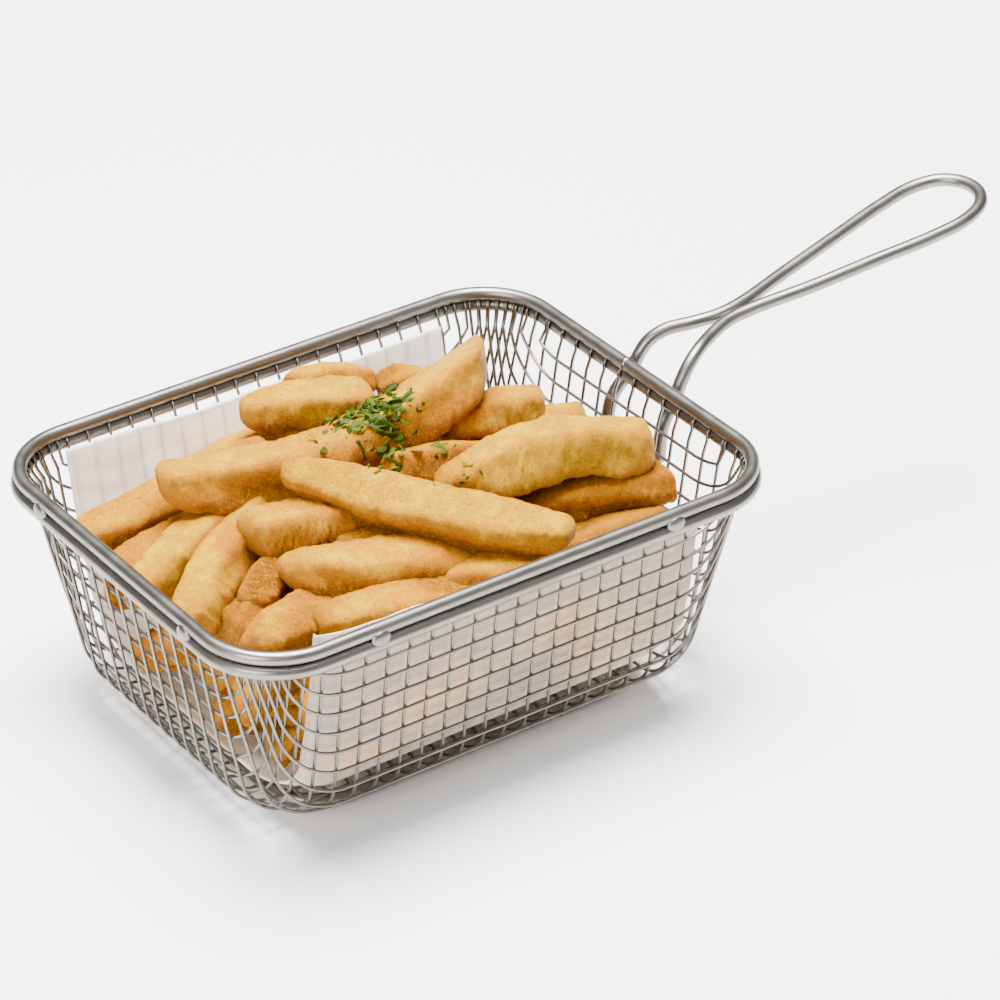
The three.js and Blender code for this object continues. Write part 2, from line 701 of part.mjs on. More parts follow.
const FLAKES = 11;
const FLAKES_FROM = [-8, 24]; // the sprinkled patch on the top fries, x and y
const FLAKES_TO = [12, 12];
for (let k = 0; k < FLAKES; k++) {
  const t = random();
  const x = THREE.MathUtils.lerp(FLAKES_FROM[0], FLAKES_TO[0], t) + 5 * (random() - 0.5);
  const y = THREE.MathUtils.lerp(FLAKES_FROM[1], FLAKES_TO[1], t) + 12 * (random() - 0.5);
  const column = toSolid(new THREE.BoxGeometry(0.2, 0.2, 200).translate(x, y, 0)).intersect(heap);
  const surface = column.boundingBox().max[2] - rimZ;
  heap = heap.add(toSolid(flake(x, y, surface + 0.1, 3 + 2.5 * random())));
}
const bodies = heap.decompose().sort((a, b) => b.volume() - a.volume());
const friesHeap = toGeometry(bodies[0]);

// ---- the object ----
const steel = new THREE.MeshStandardMaterial({ color: 0xa8a294, roughness: 0.35, metalness: 1 });
const meshSteel = new THREE.MeshStandardMaterial({ color: 0x9c968a, roughness: 0.4, metalness: 1 });
const paper = new THREE.MeshStandardMaterial({ color: 0xe7dcd2, roughness: 0.85, metalness: 0 });
const potato = new THREE.MeshStandardMaterial({ color: 0xe6b04e, roughness: 0.6, metalness: 0 });

const basket = new THREE.Group();
function addPart(name, geometry, material) {
  const mesh = new THREE.Mesh(geometry, material);
  mesh.name = name;
  basket.add(mesh);
}
addPart("top_rim_wire", topRim, steel);
addPart("lower_rim_wire", lowerRim, steel);
addPart("foot_wire", footRim, steel);
for (const [name, cells] of panelCells()) addPart(name, meshPanel(cells), meshSteel);
addPart("handle_wire", handleWire, steel);
addPart("paper_liner", paperLiner(), paper);
addPart("fries_heap", friesHeap, potato);

// The whole stands with the middle of its box over the origin.
const whole = new THREE.Box3().setFromObject(basket, true);
basket.position.set(-(whole.min.x + whole.max.x) / 2, -(whole.min.y + whole.max.y) / 2, 0);

const portion = new THREE.Group();
portion.add(basket);
export default portion;
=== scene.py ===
import bpy
import numpy as np
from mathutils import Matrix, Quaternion, Vector
from mathutils.bvhtree import BVHTree


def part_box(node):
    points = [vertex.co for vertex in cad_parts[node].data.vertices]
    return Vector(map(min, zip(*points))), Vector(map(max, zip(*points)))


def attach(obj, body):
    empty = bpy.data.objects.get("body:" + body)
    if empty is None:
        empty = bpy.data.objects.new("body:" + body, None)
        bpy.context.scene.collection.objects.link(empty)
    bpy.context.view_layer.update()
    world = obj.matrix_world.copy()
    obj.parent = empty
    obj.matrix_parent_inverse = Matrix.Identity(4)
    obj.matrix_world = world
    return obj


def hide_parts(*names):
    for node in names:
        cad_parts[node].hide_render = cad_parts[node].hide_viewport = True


# French fries with chopped parsley, on a sheet of paper in the small wire basket they are
# served in.  Points are millimetres in the basket's frame: x and y from the middle of the
# basket, x towards the handle, z up from the table.  add_piece turns them into metres.
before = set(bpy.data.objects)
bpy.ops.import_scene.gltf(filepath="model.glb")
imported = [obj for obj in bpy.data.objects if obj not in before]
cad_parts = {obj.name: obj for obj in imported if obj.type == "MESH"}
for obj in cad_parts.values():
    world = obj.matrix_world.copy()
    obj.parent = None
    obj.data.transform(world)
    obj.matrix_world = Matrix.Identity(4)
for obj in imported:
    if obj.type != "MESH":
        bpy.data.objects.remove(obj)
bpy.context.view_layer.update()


# ---- the rim ----
# Two round stainless wires, one on top of the other, bent to one rounded rectangle, the lower
# a little further out.  The ends of each are butt welded, and eight spot welds in the outer
# groove hold the two together.
MM = 0.001
rim_low, rim_high = [np.array(corner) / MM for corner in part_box("top_rim_wire")]
MIDDLE = np.array([*(rim_low + rim_high)[:2] / 2, 0.0])  # the basket's middle in the frame
WIRE = 3.0  # its diameter
RIM_HALF = (rim_high - rim_low)[:2] / 2 - WIRE / 2
RIM_CORNER = 16.5
RIM_Z = (rim_high + rim_low)[2] / 2
LOWER_OUTSET = 0.5  # the lower wire lies this much further out
LOWER_Z = RIM_Z - np.sqrt((WIRE + 0.02) ** 2 - LOWER_OUTSET**2)


def unit(vectors):
    """Vectors scaled to length one."""
    return vectors / np.linalg.norm(vectors, axis=-1, keepdims=True)


def tube_faces(stations, sides, closed):
    """Quads between neighbouring rings of points, and strips of quads over open ends."""
    ring = np.arange(stations * sides).reshape(stations, sides)
    here = ring if closed else ring[:-1]
    ahead = np.roll(ring, -1, 0) if closed else ring[1:]
    quads = [np.stack([here, np.roll(here, -1, 1), np.roll(ahead, -1, 1), ahead], -1).reshape(-1, 4)]
    if not closed:
        k = np.arange(sides // 2 - 1)
        cap = np.stack([k, k + 1, sides - 2 - k, sides - 1 - k], -1)
        quads += [ring[0][cap[:, ::-1]], ring[-1][cap]]
    return np.concatenate(quads)


def tube(path, outward, radius, sides, closed=False):
    """A round bar: circles of the radius in the planes across a path, counted from `outward`."""
    along = np.roll(path, -1, 0) - np.roll(path, 1, 0) if closed else np.gradient(path, axis=0)
    side = unit(np.cross(along, outward))
    out = unit(np.cross(side, along))
    turn = np.linspace(0, 2 * np.pi, sides, endpoint=False)[:, None]
    rings = path[:, None] + radius * (np.cos(turn) * out[:, None] + np.sin(turn) * side[:, None])
    return rings.reshape(-1, 3), tube_faces(len(path), sides, closed)


def join(parts):
    """Several (points, faces) as one."""
    counts = np.cumsum([0] + [len(points) for points, _ in parts])
    faces = [faces + first for (_, faces), first in zip(parts, counts)]
    return np.concatenate([points for points, _ in parts]), np.concatenate(faces)


def rounded_rectangle(half, corner, steps):
    """Stations round a rectangle with arcs for corners, and the outward direction at each."""
    quarter = np.arange(4).repeat(steps + 1)
    turn = (quarter + np.tile(np.linspace(0, 1, steps + 1), 4)) * np.pi / 2
    outward = np.stack([np.cos(turn), np.sin(turn), 0 * turn], -1)
    centre = np.array([[1, 1], [-1, 1], [-1, -1], [1, -1]])[quarter] * (half - corner)
    return np.pad(centre, ((0, 0), (0, 1))) + corner * outward, outward


BALL_RINGS, BALL_SIDES = 15, 16
BALL_POLE = 0.06  # radians from each pole to the first ring


def ball(centre, along, up, sizes):
    """An ellipsoid with one axis along `along`: rings whose size follows a half sine."""
    turn = np.linspace(BALL_POLE, np.pi - BALL_POLE, BALL_RINGS)[:, None, None]
    round_ = np.linspace(0, 2 * np.pi, BALL_SIDES, endpoint=False)[:, None]
    side = np.cross(along, up)
    section = np.cos(round_) * sizes[2] * up + np.sin(round_) * sizes[1] * side
    points = centre + 0.5 * (-np.cos(turn) * sizes[0] * along + np.sin(turn) * section)
    return points.reshape(-1, 3), tube_faces(BALL_RINGS, BALL_SIDES, False)


def add_piece(name, shape, material, slot, *nodes, **attributes):
    """Put points and quads into a mesh that stands for some nodes of the frame."""
    points, faces = shape
    mesh = bpy.data.meshes.new(name)
    mesh.vertices.add(len(points))
    mesh.vertices.foreach_set("co", ((points + MIDDLE) * MM).ravel())
    mesh.loops.add(faces.size)
    mesh.loops.foreach_set("vertex_index", faces.ravel())
    mesh.polygons.add(len(faces))
    mesh.polygons.foreach_set("loop_start", np.arange(0, faces.size, faces.shape[1]))
    mesh.polygons.foreach_set("use_smooth", np.ones(len(faces), bool))
    mesh.update(calc_edges=True)
    for key, values in attributes.items():
        layer = mesh.attributes.new(key, "FLOAT", "POINT")
        layer.data.foreach_set("value", np.ascontiguousarray(values, np.float32).ravel())
    mesh.materials.append(material)
    piece = bpy.data.objects.new(name, mesh)
    bpy.context.collection.objects.link(piece)
    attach(piece, "root")
    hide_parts(*nodes)


def new_group(name, inputs, output):
    """An empty shader node group with number inputs, by name and first value, and one output."""
    group = bpy.data.node_groups.new(name, "ShaderNodeTree")
    for label, value in inputs.items():
        socket = group.interface.new_socket(label, in_out="INPUT", socket_type="NodeSocketFloat")
        socket.default_value = value
    group.interface.new_socket(output, in_out="OUTPUT", socket_type="NodeSocketFloat")
    return group, group.nodes.new("NodeGroupInput"), group.nodes.new("NodeGroupOutput")


def add_node(tree, kind, **settings):
    """A shader node with some properties and, by name, some input values set."""
    node = tree.nodes.new("ShaderNode" + kind)
    for key, value in settings.items():
        if hasattr(node, key):
            setattr(node, key, value)
        else:
            node.inputs[key].default_value = value
    return node


def mottle_group():
    """Soft blotches with a finer grain in them, from 0 to 1, by the size of a blotch in mm."""
    group, given, result = new_group("mottle", {"Size": 5.0, "Grain": 0.3, "Spread": 0.3}, "Mottle")
    place = add_node(group, "TexCoord")
    frequency = add_node(group, "Math", operation="DIVIDE")
    frequency.inputs[0].default_value = 1 / MM
    group.links.new(given.outputs["Size"], frequency.inputs[1])
    noise = add_node(group, "TexNoise", Detail=6.0)
    group.links.new(place.outputs["Object"], noise.inputs["Vector"])
    group.links.new(frequency.outputs[0], noise.inputs["Scale"])
    group.links.new(given.outputs["Grain"], noise.inputs["Roughness"])
    low = add_node(group, "Math", operation="SUBTRACT")
    low.inputs[0].default_value = 0.5
    group.links.new(given.outputs["Spread"], low.inputs[1])
    high = add_node(group, "Math", operation="ADD")
    high.inputs[0].default_value = 0.5
    group.links.new(given.outputs["Spread"], high.inputs[1])
    stretch = add_node(group, "MapRange")
    group.links.new(noise.outputs["Fac"], stretch.inputs["Value"])
    group.links.new(low.outputs[0], stretch.inputs["From Min"])
    group.links.new(high.outputs[0], stretch.inputs["From Max"])
    group.links.new(stretch.outputs[0], result.inputs[0])
    return group


MOTTLE = mottle_group()


def new_material(name):
    """A material with nothing but its Principled shader."""
    material = bpy.data.materials.new(name)
    material.use_nodes = True
    return material, material.node_tree, material.node_tree.nodes["Principled BSDF"]


def add_mottle(tree, **values):
    """One use of the mottle group; its output is a number from 0 to 1."""
    node = tree.nodes.new("ShaderNodeGroup")
    node.node_tree = MOTTLE
    for key, value in values.items():
        node.inputs[key].default_value = value
    return node.outputs["Mottle"]


def add_mix(tree, factor, first, second):
    """A colour between two, each a link or four numbers, by a linked factor."""
    node = add_node(tree, "Mix", data_type="RGBA")
    tree.links.new(factor, node.inputs["Factor"])
    for socket, value in ((node.inputs[6], first), (node.inputs[7], second)):
        if isinstance(value, tuple):
            socket.default_value = value
        else:
            tree.links.new(value, socket)
    return node.outputs[2]


def add_range(tree, value, low, high, to_low=0.0, to_high=1.0):
    """A linked number moved from one range into another, with smooth ends."""
    ends = {"From Min": low, "From Max": high, "To Min": to_low, "To Max": to_high}
    node = add_node(tree, "MapRange", interpolation_type="SMOOTHSTEP", **ends)
    tree.links.new(value, node.inputs["Value"])
    return node.outputs["Result"]


def add_bump(tree, height, strength, depth_mm, below=None):
    """A bump of a depth in millimetres, over another one if that is given."""
    node = add_node(tree, "Bump", Strength=strength, Distance=depth_mm * MM)
    tree.links.new(height, node.inputs["Height"])
    if below:
        tree.links.new(below, node.inputs["Normal"])
    return node.outputs["Normal"]


def steel(name, bright, dull, roughness):
    """Satin stainless steel: warm grey, its tone and its shine uneven in small blotches."""
    material, tree, skin = new_material(name)
    skin.inputs["Metallic"].default_value = 1.0
    blotches = add_mottle(tree, Size=6.0, Grain=0.6, Spread=0.2)
    tree.links.new(add_mix(tree, blotches, dull, bright), skin.inputs["Base Color"])
    tree.links.new(
        add_range(tree, blotches, 0, 1, roughness + 0.08, roughness - 0.06), skin.inputs["Roughness"]
    )
    scratches = add_mottle(tree, Size=0.35, Grain=0.7, Spread=0.3)
    tree.links.new(add_bump(tree, scratches, 0.12, 0.02), skin.inputs["Normal"])
    return material


wire_steel = steel("wire_steel", (0.225, 0.213, 0.19, 1), (0.165, 0.153, 0.134, 1), 0.35)

WIRE_SIDES = 24
WELD_SIZES = np.array([4.6, 2.1, 3.6])  # along the wires, out of them, up and down
WELD_OUT = 0.75  # its middle, out from the line of the lower wire
WELD_AT_LONG_SIDE = 36  # from the middle of the side
WELD_AT_SHORT_SIDE = 28
BUTT_WELD_AT = 4  # along the short side at the handle, of the top wire
BUTT_WELD_SIZES = np.array([2.4, 3.5, 3.5])
CORNER_STEPS = 24

rim_line, rim_outward = rounded_rectangle(RIM_HALF, RIM_CORNER, CORNER_STEPS)
lower_line, lower_outward = rounded_rectangle(
    RIM_HALF + LOWER_OUTSET, RIM_CORNER + LOWER_OUTSET, CORNER_STEPS
)
X, Y, Z = np.eye(3)


def spot_welds():
    """Two flattened balls on each side, in the outer groove between the rim's wires."""
    welds = []
    height = Z * (RIM_Z + LOWER_Z) / 2
    for side in (-1, 1):
        for end in (-1, 1):
            on_long = X * end * WELD_AT_LONG_SIDE + Y * side * (RIM_HALF[1] + LOWER_OUTSET + WELD_OUT)
            welds.append(ball(on_long + height, X, Z, WELD_SIZES))
            on_short = Y * end * WELD_AT_SHORT_SIDE + X * side * (RIM_HALF[0] + LOWER_OUTSET + WELD_OUT)
            welds.append(ball(on_short + height, Y, Z, WELD_SIZES))
    return welds


butt_weld = ball(X * RIM_HALF[0] + Y * BUTT_WELD_AT + Z * RIM_Z, Y, Z, BUTT_WELD_SIZES)
top_rim = tube(rim_line + Z * RIM_Z, rim_outward, WIRE / 2, WIRE_SIDES, closed=True)
lower_rim = tube(lower_line + Z * LOWER_Z, lower_outward, WIRE / 2, WIRE_SIDES, closed=True)
add_piece("rim_top", join([top_rim, butt_weld]), wire_steel, "wire", "top_rim_wire")
add_piece("rim_lower", join([lower_rim, *spot_welds()]), wire_steel, "wire", "lower_rim_wire")


# ---- the foot ----
# A smaller ring of the same wire, flat on the table under the mesh floor, to which it is
# spot welded from below.
foot_low, foot_high = [np.array(corner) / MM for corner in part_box("foot_wire")]
FOOT_HALF = (foot_high - foot_low)[:2] / 2 - WIRE / 2
FOOT_CORNER = 12
foot_line, foot_outward = rounded_rectangle(FOOT_HALF, FOOT_CORNER, steps=20)
foot = tube(foot_line + Z * WIRE / 2, foot_outward, WIRE / 2, WIRE_SIDES, closed=True)
add_piece("foot", foot, wire_steel, "wire", "foot_wire")


# ---- the mesh tray ----
# Flat welded wire mesh, pressed into a tray in one go.  The wires along the basket lie on its
# outside and the ones across it on the inside.  They keep their spacing, so the squares shear
# into diamonds towards the corners.  The cut ends are bent over the lower rim wire and lie in
# the groove under the top one.
MESH_WIRE = 0.72  # its diameter
PITCH = 5.25  # from one wire to the next
LAYER = 0.34  # from the middle of the mesh to each layer's wires, which melt together a little
BAR = 1.2  # bar of the frame's plain tray
MESH_NODES = [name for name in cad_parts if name.startswith("mesh_")]
mesh_boxes = np.array([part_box(name) for name in MESH_NODES]) / MM
tray_low, tray_high = mesh_boxes[:, 0].min(0), mesh_boxes[:, 1].max(0)
TOP_HALF = (tray_high - tray_low)[:2] / 2 - BAR / 2
TOP_Z = tray_high[2]
FLOOR_Z = tray_low[2] + BAR / 2
TRAY_HEIGHT = TOP_Z - FLOOR_Z
WALL_LEAN = 7.5  # how far each wall comes in from rim to floor
WALL_COSINE = np.cos(np.arctan2(WALL_LEAN, TRAY_HEIGHT))
FLOOR_BEND = 9  # radius from floor to wall
FLOOR_CORNER = 18  # plan radius at the floor
TOP_CORNER = 14.5  # and at the rim
NEWTON_STEPS = 15


def tray_half(height):
    """Half length and half width of the tray's wall at a height over its floor."""
    return TOP_HALF - (WALL_LEAN * (1 - np.asarray(height) / TRAY_HEIGHT))[..., None]


def tray_distance(points):
    """How far points lie outside the mesh's middle surface.

    The wall is the distance to a rounded rectangle that grows with height, the floor is a
    plane, and a fillet joins the two.
    """
    height = points[..., 2] - FLOOR_Z
    corner = FLOOR_CORNER + (TOP_CORNER - FLOOR_CORNER) * height / TRAY_HEIGHT
    over = np.abs(points[..., :2]) - tray_half(height) + corner[..., None]
    round_part = np.linalg.norm(np.maximum(over, 0), axis=-1)
    wall = (round_part + np.minimum(over.max(-1), 0) - corner) * WALL_COSINE
    across, down = wall + FLOOR_BEND, FLOOR_BEND - height
    inside = np.minimum(np.maximum(across, down), 0)
    return inside + np.hypot(np.maximum(across, 0), np.maximum(down, 0)) - FLOOR_BEND


def tray_normal(points):
    """The direction straight out of the tray, from differences of the distance."""
    step = 0.01 * np.eye(3)
    near = points[..., None, :]
    return unit(tray_distance(near + step) - tray_distance(near - step))


def middle_knots(axis):
    """Knots one pitch apart up the middle of a wall: floor line, bend, then leaning wall."""
    turn = np.linspace(0, np.pi / 2, 90)
    heights = np.append(FLOOR_BEND * (1 - np.cos(turn)), TRAY_HEIGHT + 2 * PITCH)
    pulled_in = np.append(FLOOR_BEND * (1 - np.sin(turn)), 0)
    reach = tray_half(heights)[:, axis] - pulled_in / WALL_COSINE
    profile = np.array([np.append(0, reach), np.append(0, heights)])
    lengths = np.append(0, np.cumsum(np.linalg.norm(np.diff(profile), axis=0)))
    stops = np.arange(0, lengths[-1], PITCH)
    knots = np.zeros((len(stops), 3))
    knots[:, axis] = np.interp(stops, lengths, profile[0])
    knots[:, 2] = FLOOR_Z + np.interp(stops, lengths, profile[1])
    return knots


def next_knots(from_x, from_y, guess):
    """Newton's method for knots one pitch from both neighbours and on the mesh's surface."""
    for _ in range(NEWTON_STEPS):
        to_x, to_y = guess - from_x, guess - from_y
        rows = np.stack([2 * to_x, 2 * to_y, tray_normal(guess)], 1)
        pitches = [(to_x**2).sum(1) - PITCH**2, (to_y**2).sum(1) - PITCH**2]
        misses = np.stack([*pitches, tray_distance(guess)], 1)
        move = np.linalg.solve(rows, misses[..., None])[..., 0]
        length = np.linalg.norm(move, axis=1, keepdims=True)
        guess = guess - move * np.minimum(1, PITCH / 3 / np.maximum(length, 1e-9))
    settled = (length[:, 0] < 1e-3) & (guess[:, 2] < TOP_Z + 2 * PITCH)
    return np.where(settled[:, None], guess, np.nan)


def net_quarter():
    """Knots of one quarter of the net, by wire numbers, one diagonal after the other."""
    along, across = middle_knots(0), middle_knots(1)
    net = np.full((len(along), len(across), 3), np.nan)
    net[:, 0], net[0] = along, across
    for diagonal in range(2, len(along) + len(across) - 1):
        i = np.arange(max(1, diagonal - len(across) + 1), min(diagonal, len(along)))
        j = diagonal - i
        guess = net[i - 1, j] + net[i, j - 1] - net[i - 1, j - 1]
        known = np.isfinite(guess[:, 0])
        i, j = i[known], j[known]
        if len(i):
            net[i, j] = next_knots(net[i - 1, j], net[i, j - 1], guess[known])
    return net


def spline(knots, steps):
    """A uniform Catmull-Rom curve through knots, with `steps` points to a span."""
    ends = [2 * knots[:1] - knots[1:2], knots, 2 * knots[-1:] - knots[-2:-1]]
    p = np.concatenate(ends)
    a, b, c, d = p[:-3, None], p[1:-2, None], p[2:-1, None], p[3:, None]
    t = np.linspace(0, 1, steps, endpoint=False)[:, None]
    cubic = (3 * b - a - 3 * c + d) * t**3 + (2 * a - 5 * b + 4 * c - d) * t**2 + (c - a) * t + 2 * b
    return np.concatenate([cubic.reshape(-1, 3) / 2, knots[-1:]])


def nearest_on_rim(points):
    """The closest points of the lower rim wire's line."""
    half, corner = RIM_HALF + LOWER_OUTSET, RIM_CORNER + LOWER_OUTSET
    flat = np.abs(points[..., :2])
    over = flat - (half - corner)
    on_arc = half - corner + corner * unit(np.maximum(over, 1e-9))
    across = over[..., :1] > over[..., 1:]
    on_side = np.where(np.concatenate([across, ~across], -1), half, flat)
    plan = np.where((over > 0).all(-1, keepdims=True), on_arc, on_side) * np.sign(points[..., :2])
    return np.concatenate([plan, np.full_like(plan[..., :1], LOWER_Z)], -1)


SPAN_STEPS = 6  # points of a mesh wire from one crossing to the next
MESH_SIDES = 8
HOOK_FROM, HOOK_TO = np.radians([-22, 62])  # round the lower rim wire, from its inner side
HOOK_BELOW = 3.2  # where the wire leaves the wall for the rim


def hook(end):
    """A wire's end, bent round the inner side of the lower rim wire into the groove."""
    centre = nearest_on_rim(end)
    inward = unit((end - centre) * [1, 1, 0])
    turn = np.linspace(HOOK_FROM, HOOK_TO, 6)[:, None]
    outward = -np.cos(turn) * inward - np.sin(turn) * Z
    return centre - (WIRE / 2 + MESH_WIRE / 2) * outward, outward


def mesh_wire(half_wire, flip, layer):
    """One wire of the mesh, from rim to rim, as a bent bar that lies `layer` out from the
    middle surface."""
    knots = half_wire[: np.argmax(np.append(half_wire[:, 2], np.inf) > TOP_Z) + 1]
    knots = knots[np.isfinite(knots[:, 0])]
    line = spline(np.concatenate([(knots * flip)[:0:-1], knots]), SPAN_STEPS)
    outward = tray_normal(line)
    line = line + outward * (layer - tray_distance(line))[:, None]
    kept = line[:, 2] < LOWER_Z - HOOK_BELOW
    line, outward = line[kept], outward[kept]
    first, first_out = hook(line[0])
    last, last_out = hook(line[-1])
    path = np.concatenate([first[::-1], line, last])
    return tube(path, np.concatenate([first_out[::-1], outward, last_out]), MESH_WIRE / 2, MESH_SIDES)


def wires_of(net, axis, layer):
    """All wires that cross one axis: those of a quarter, and their mirror images."""
    mirror = np.where(np.arange(3) == axis, -1.0, 1.0)
    flip = np.where(np.arange(3) == 1 - axis, -1.0, 1.0)
    rows = net if axis == 0 else net.transpose(1, 0, 2)
    wires = []
    for number, half_wire in enumerate(rows):
        if half_wire[0, 2] > LOWER_Z - HOOK_BELOW:
            continue
        wires.append(mesh_wire(half_wire, flip, layer))
        if number:
            wires.append(mesh_wire(half_wire * mirror, flip, layer))
    return wires


mesh_steel = steel("mesh_steel", (0.22, 0.207, 0.18, 1), (0.14, 0.127, 0.11, 1), 0.33)
net = net_quarter()
add_piece("mesh_across", join(wires_of(net, 0, -LAYER)), mesh_steel, "mesh", *MESH_NODES)
add_piece("mesh_along", join(wires_of(net, 1, LAYER)), mesh_steel, "mesh", *MESH_NODES)


# ---- the handle ----
# One more length of the rim's wire, bent double.  Its legs are welded to the outside of the
# wall, come up round the outside of the rim, all but touch at the neck and open into a long
# loop.  Half of it from the weld to the tip, x and y from the basket's middle, z from the rim
# wire:
HANDLE_HALF = np.array([
    [63.6, 9.4, -17],
    [64.5, 9.0, -11],
    [66.1, 8.5, -7.8],
    [68.9, 8.0, -5.0],
    [70.3, 7.6, -2.0],
    [72.8, 7.1, 1.6],
    [76.5, 5.8, 3.9],
    [82.5, 3.2, 5.0],
    [88.0, 1.62, 5.8],
    [94.0, 1.72, 6.6],
    [108.0, 4.3, 8.6],
    [124.0, 6.8, 11.2],
    [138.0, 9.0, 13.4],
    [147.5, 9.4, 15.0],
    [153.6, 7.0, 16.0],
    [156.6, 2.6, 16.4],
])


def smooth_path(knots, steps):
    """A centripetal Catmull-Rom curve through knots, by Barry and Goldman's pyramid of
    weighted means, with knot times a square root of the distance apart."""
    p = np.concatenate([2 * knots[:1] - knots[1:2], knots, 2 * knots[-1:] - knots[-2:-1]])
    times = np.append(0, np.cumsum(np.linalg.norm(np.diff(p, axis=0), axis=1) ** 0.5))
    level = [p[k : len(p) - 3 + k, None] for k in range(4)]
    at = [times[k : len(p) - 3 + k, None, None] for k in range(4)]
    t = at[1] + (at[2] - at[1]) * np.linspace(0, 1, steps, endpoint=False)[:, None]
    for reach in (1, 2, 3):
        # at the last level only the middle span is left, between times 1 and 2
        spans = [(k, k + reach) for k in range(4 - reach)] if reach < 3 else [(1, 2)]
        level = [
            (level[k] * (at[b] - t) + level[k + 1] * (t - at[a])) / (at[b] - at[a])
            for k, (a, b) in enumerate(spans)
        ]
    return np.concatenate([level[0].reshape(-1, 3), knots[-1:]])


half_handle = HANDLE_HALF + Z * RIM_Z
handle_knots = np.concatenate([half_handle * [1, -1, 1], half_handle[::-1]])
handle_path = smooth_path(handle_knots, steps=14)
slope = np.gradient(half_handle, axis=0)
upward = np.interp(handle_path[:, 0], half_handle[:, 0], np.arctan2(slope[:, 2], slope[:, 0]))
handle_up = np.stack([-np.sin(upward), 0 * upward, np.cos(upward)], -1)
handle = tube(handle_path, handle_up, WIRE / 2, WIRE_SIDES)
add_piece("handle", handle, wire_steel, "wire", "handle_wire")


# ---- the paper liner ----
# A sheet of thin, slightly see-through greaseproof paper, laid over the floor and up the two
# long walls.  The mesh is pressed into it and its wires' shadow is painted on as soft darker
# lines, fat has made some patches darker, and painted shade darkens the front wall.
PAPER = 0.14  # its thickness
PAPER_X = (-49, 46)  # its side edges
PAPER_FRONT_Z = (56.2, 49.3)  # its top edges, from the plain end to the handle end
PAPER_BACK_Z = (51.5, 49)
EDGE_POWER = 0.48  # the top edges fall fast near the plain end, and then less and less
LINER_BEND = 17  # radius from floor to wall
PAPER_INSET = 1.25  # from the middle of the mesh
LIFT_FROM, LIFT_SLOPE = 39, 0.35  # the sheet rises towards the tray's rounded floor corners
PAPER_COLUMNS = 130
WALL_ROWS, BEND_ROWS, FLOOR_ROWS = 40, 28, 40
WALL_FROM = 30  # out from the middle: where the marks count as those of a wall
MARK_WIDTH = 0.085  # of a mark of the mesh, as a share of its pitch
MARK_SHIFT = 0.35  # pitches from the floor down to the lowest mark along a wall
LEVEL_MARKS = 0.45  # how strong the marks along the walls are beside the ones up them
FAT_SPOTS = np.array([[-19, -48, 27], [12, -48, 33], [24, -48, 22], [-33, -48, 20]])
FAT_REACH = [11, 14, 7]  # of each patch from its middle, along x, y and z
SHADE_FROM, SHADE_TO = 30, 40  # out from the middle, over which painted shade makes the front darker
SHADE_TOP, UNSHADED_TOP = 46, 52  # heights over which the painted shade fades and the paper gets light again


def paper_side(across, height, side):
    """The y of a wall of paper by height, from the tray's own wall and its corner's arc."""
    half = tray_half(height)
    corner = FLOOR_CORNER + (TOP_CORNER - FLOOR_CORNER) * height / TRAY_HEIGHT
    into_corner = np.maximum(0, np.abs(across) - half[..., 0] + corner)
    rounded = corner - np.sqrt(np.maximum(corner**2 - into_corner**2, 0))
    return side * (half[..., 1] - rounded)


def paper_surface(inset):
    """A grid over the paper: down the front wall, round a bend, over the floor and up the back.

    Ruffles are a few long sine waves on the walls, weaker towards the floor.
    """
    across = np.linspace(*PAPER_X, PAPER_COLUMNS)[:, None]
    share = (across - PAPER_X[0]) / (PAPER_X[1] - PAPER_X[0])
    wall = np.linspace(1, 0, WALL_ROWS)
    turn = np.linspace(np.pi / 2, 0, BEND_ROWS)
    ruffle = 0.22 * np.sin(0.21 * across + 0.6) + 0.12 * np.sin(0.47 * across + 2)
    halves = []
    for side, top_z in ((-1, PAPER_FRONT_Z), (1, PAPER_BACK_Z)):
        edge = top_z[0] + (top_z[1] - top_z[0]) * share**EDGE_POWER
        edge = edge + 0.35 * np.sin(0.16 * across + side)
        wall_height = LINER_BEND + (edge - FLOOR_Z - LINER_BEND) * wall
        wave = ruffle * (0.35 + 0.65 * wall) + 0.18 * np.sin(0.33 * wall_height + 0.11 * across)
        wall_y = paper_side(across, wall_height, side) - side * (inset + np.abs(wave)) / WALL_COSINE
        reach = LINER_BEND - inset
        bend_height = LINER_BEND - reach * np.cos(turn) + 0 * across
        lift = LIFT_SLOPE * np.maximum(0, np.abs(across) - LIFT_FROM) * np.cos(turn)
        pulled_in = (LINER_BEND - reach * np.sin(turn)) / WALL_COSINE
        bend_y = paper_side(across, bend_height, side) - side * pulled_in
        heights = np.concatenate([wall_height, (bend_height + lift)[:, 1:]], 1)
        out = np.concatenate([wall_y, bend_y[:, 1:]], 1)
        halves.append(np.stack([0 * heights + across, out, FLOOR_Z + heights], -1))
    front, back = halves[0], halves[1][:, ::-1]
    over = np.linspace(0, 1, FLOOR_ROWS + 2)[1:-1, None]
    floor = front[:, -1:] + (back[:, :1] - front[:, -1:]) * over
    return np.concatenate([front, floor, back], 1)


def sheet_shell(upper, lower):
    """Two like grids of points, a paper's thickness apart, closed round their border."""
    rows, columns = upper.shape[:2]
    index = np.arange(rows * columns).reshape(rows, columns)
    quads = np.stack([index[:-1, :-1], index[1:, :-1], index[1:, 1:], index[:-1, 1:]], -1)
    quads = quads.reshape(-1, 4)
    border = np.concatenate([index[0, :-1], index[:-1, -1], index[-1, :0:-1], index[:0:-1, 0]])
    ahead = np.roll(border, -1)
    count = rows * columns
    rim = np.stack([border, ahead, ahead + count, border + count], -1)
    points = np.concatenate([upper.reshape(-1, 3), lower.reshape(-1, 3)])
    return points, np.concatenate([quads, quads[:, ::-1] + count, rim])


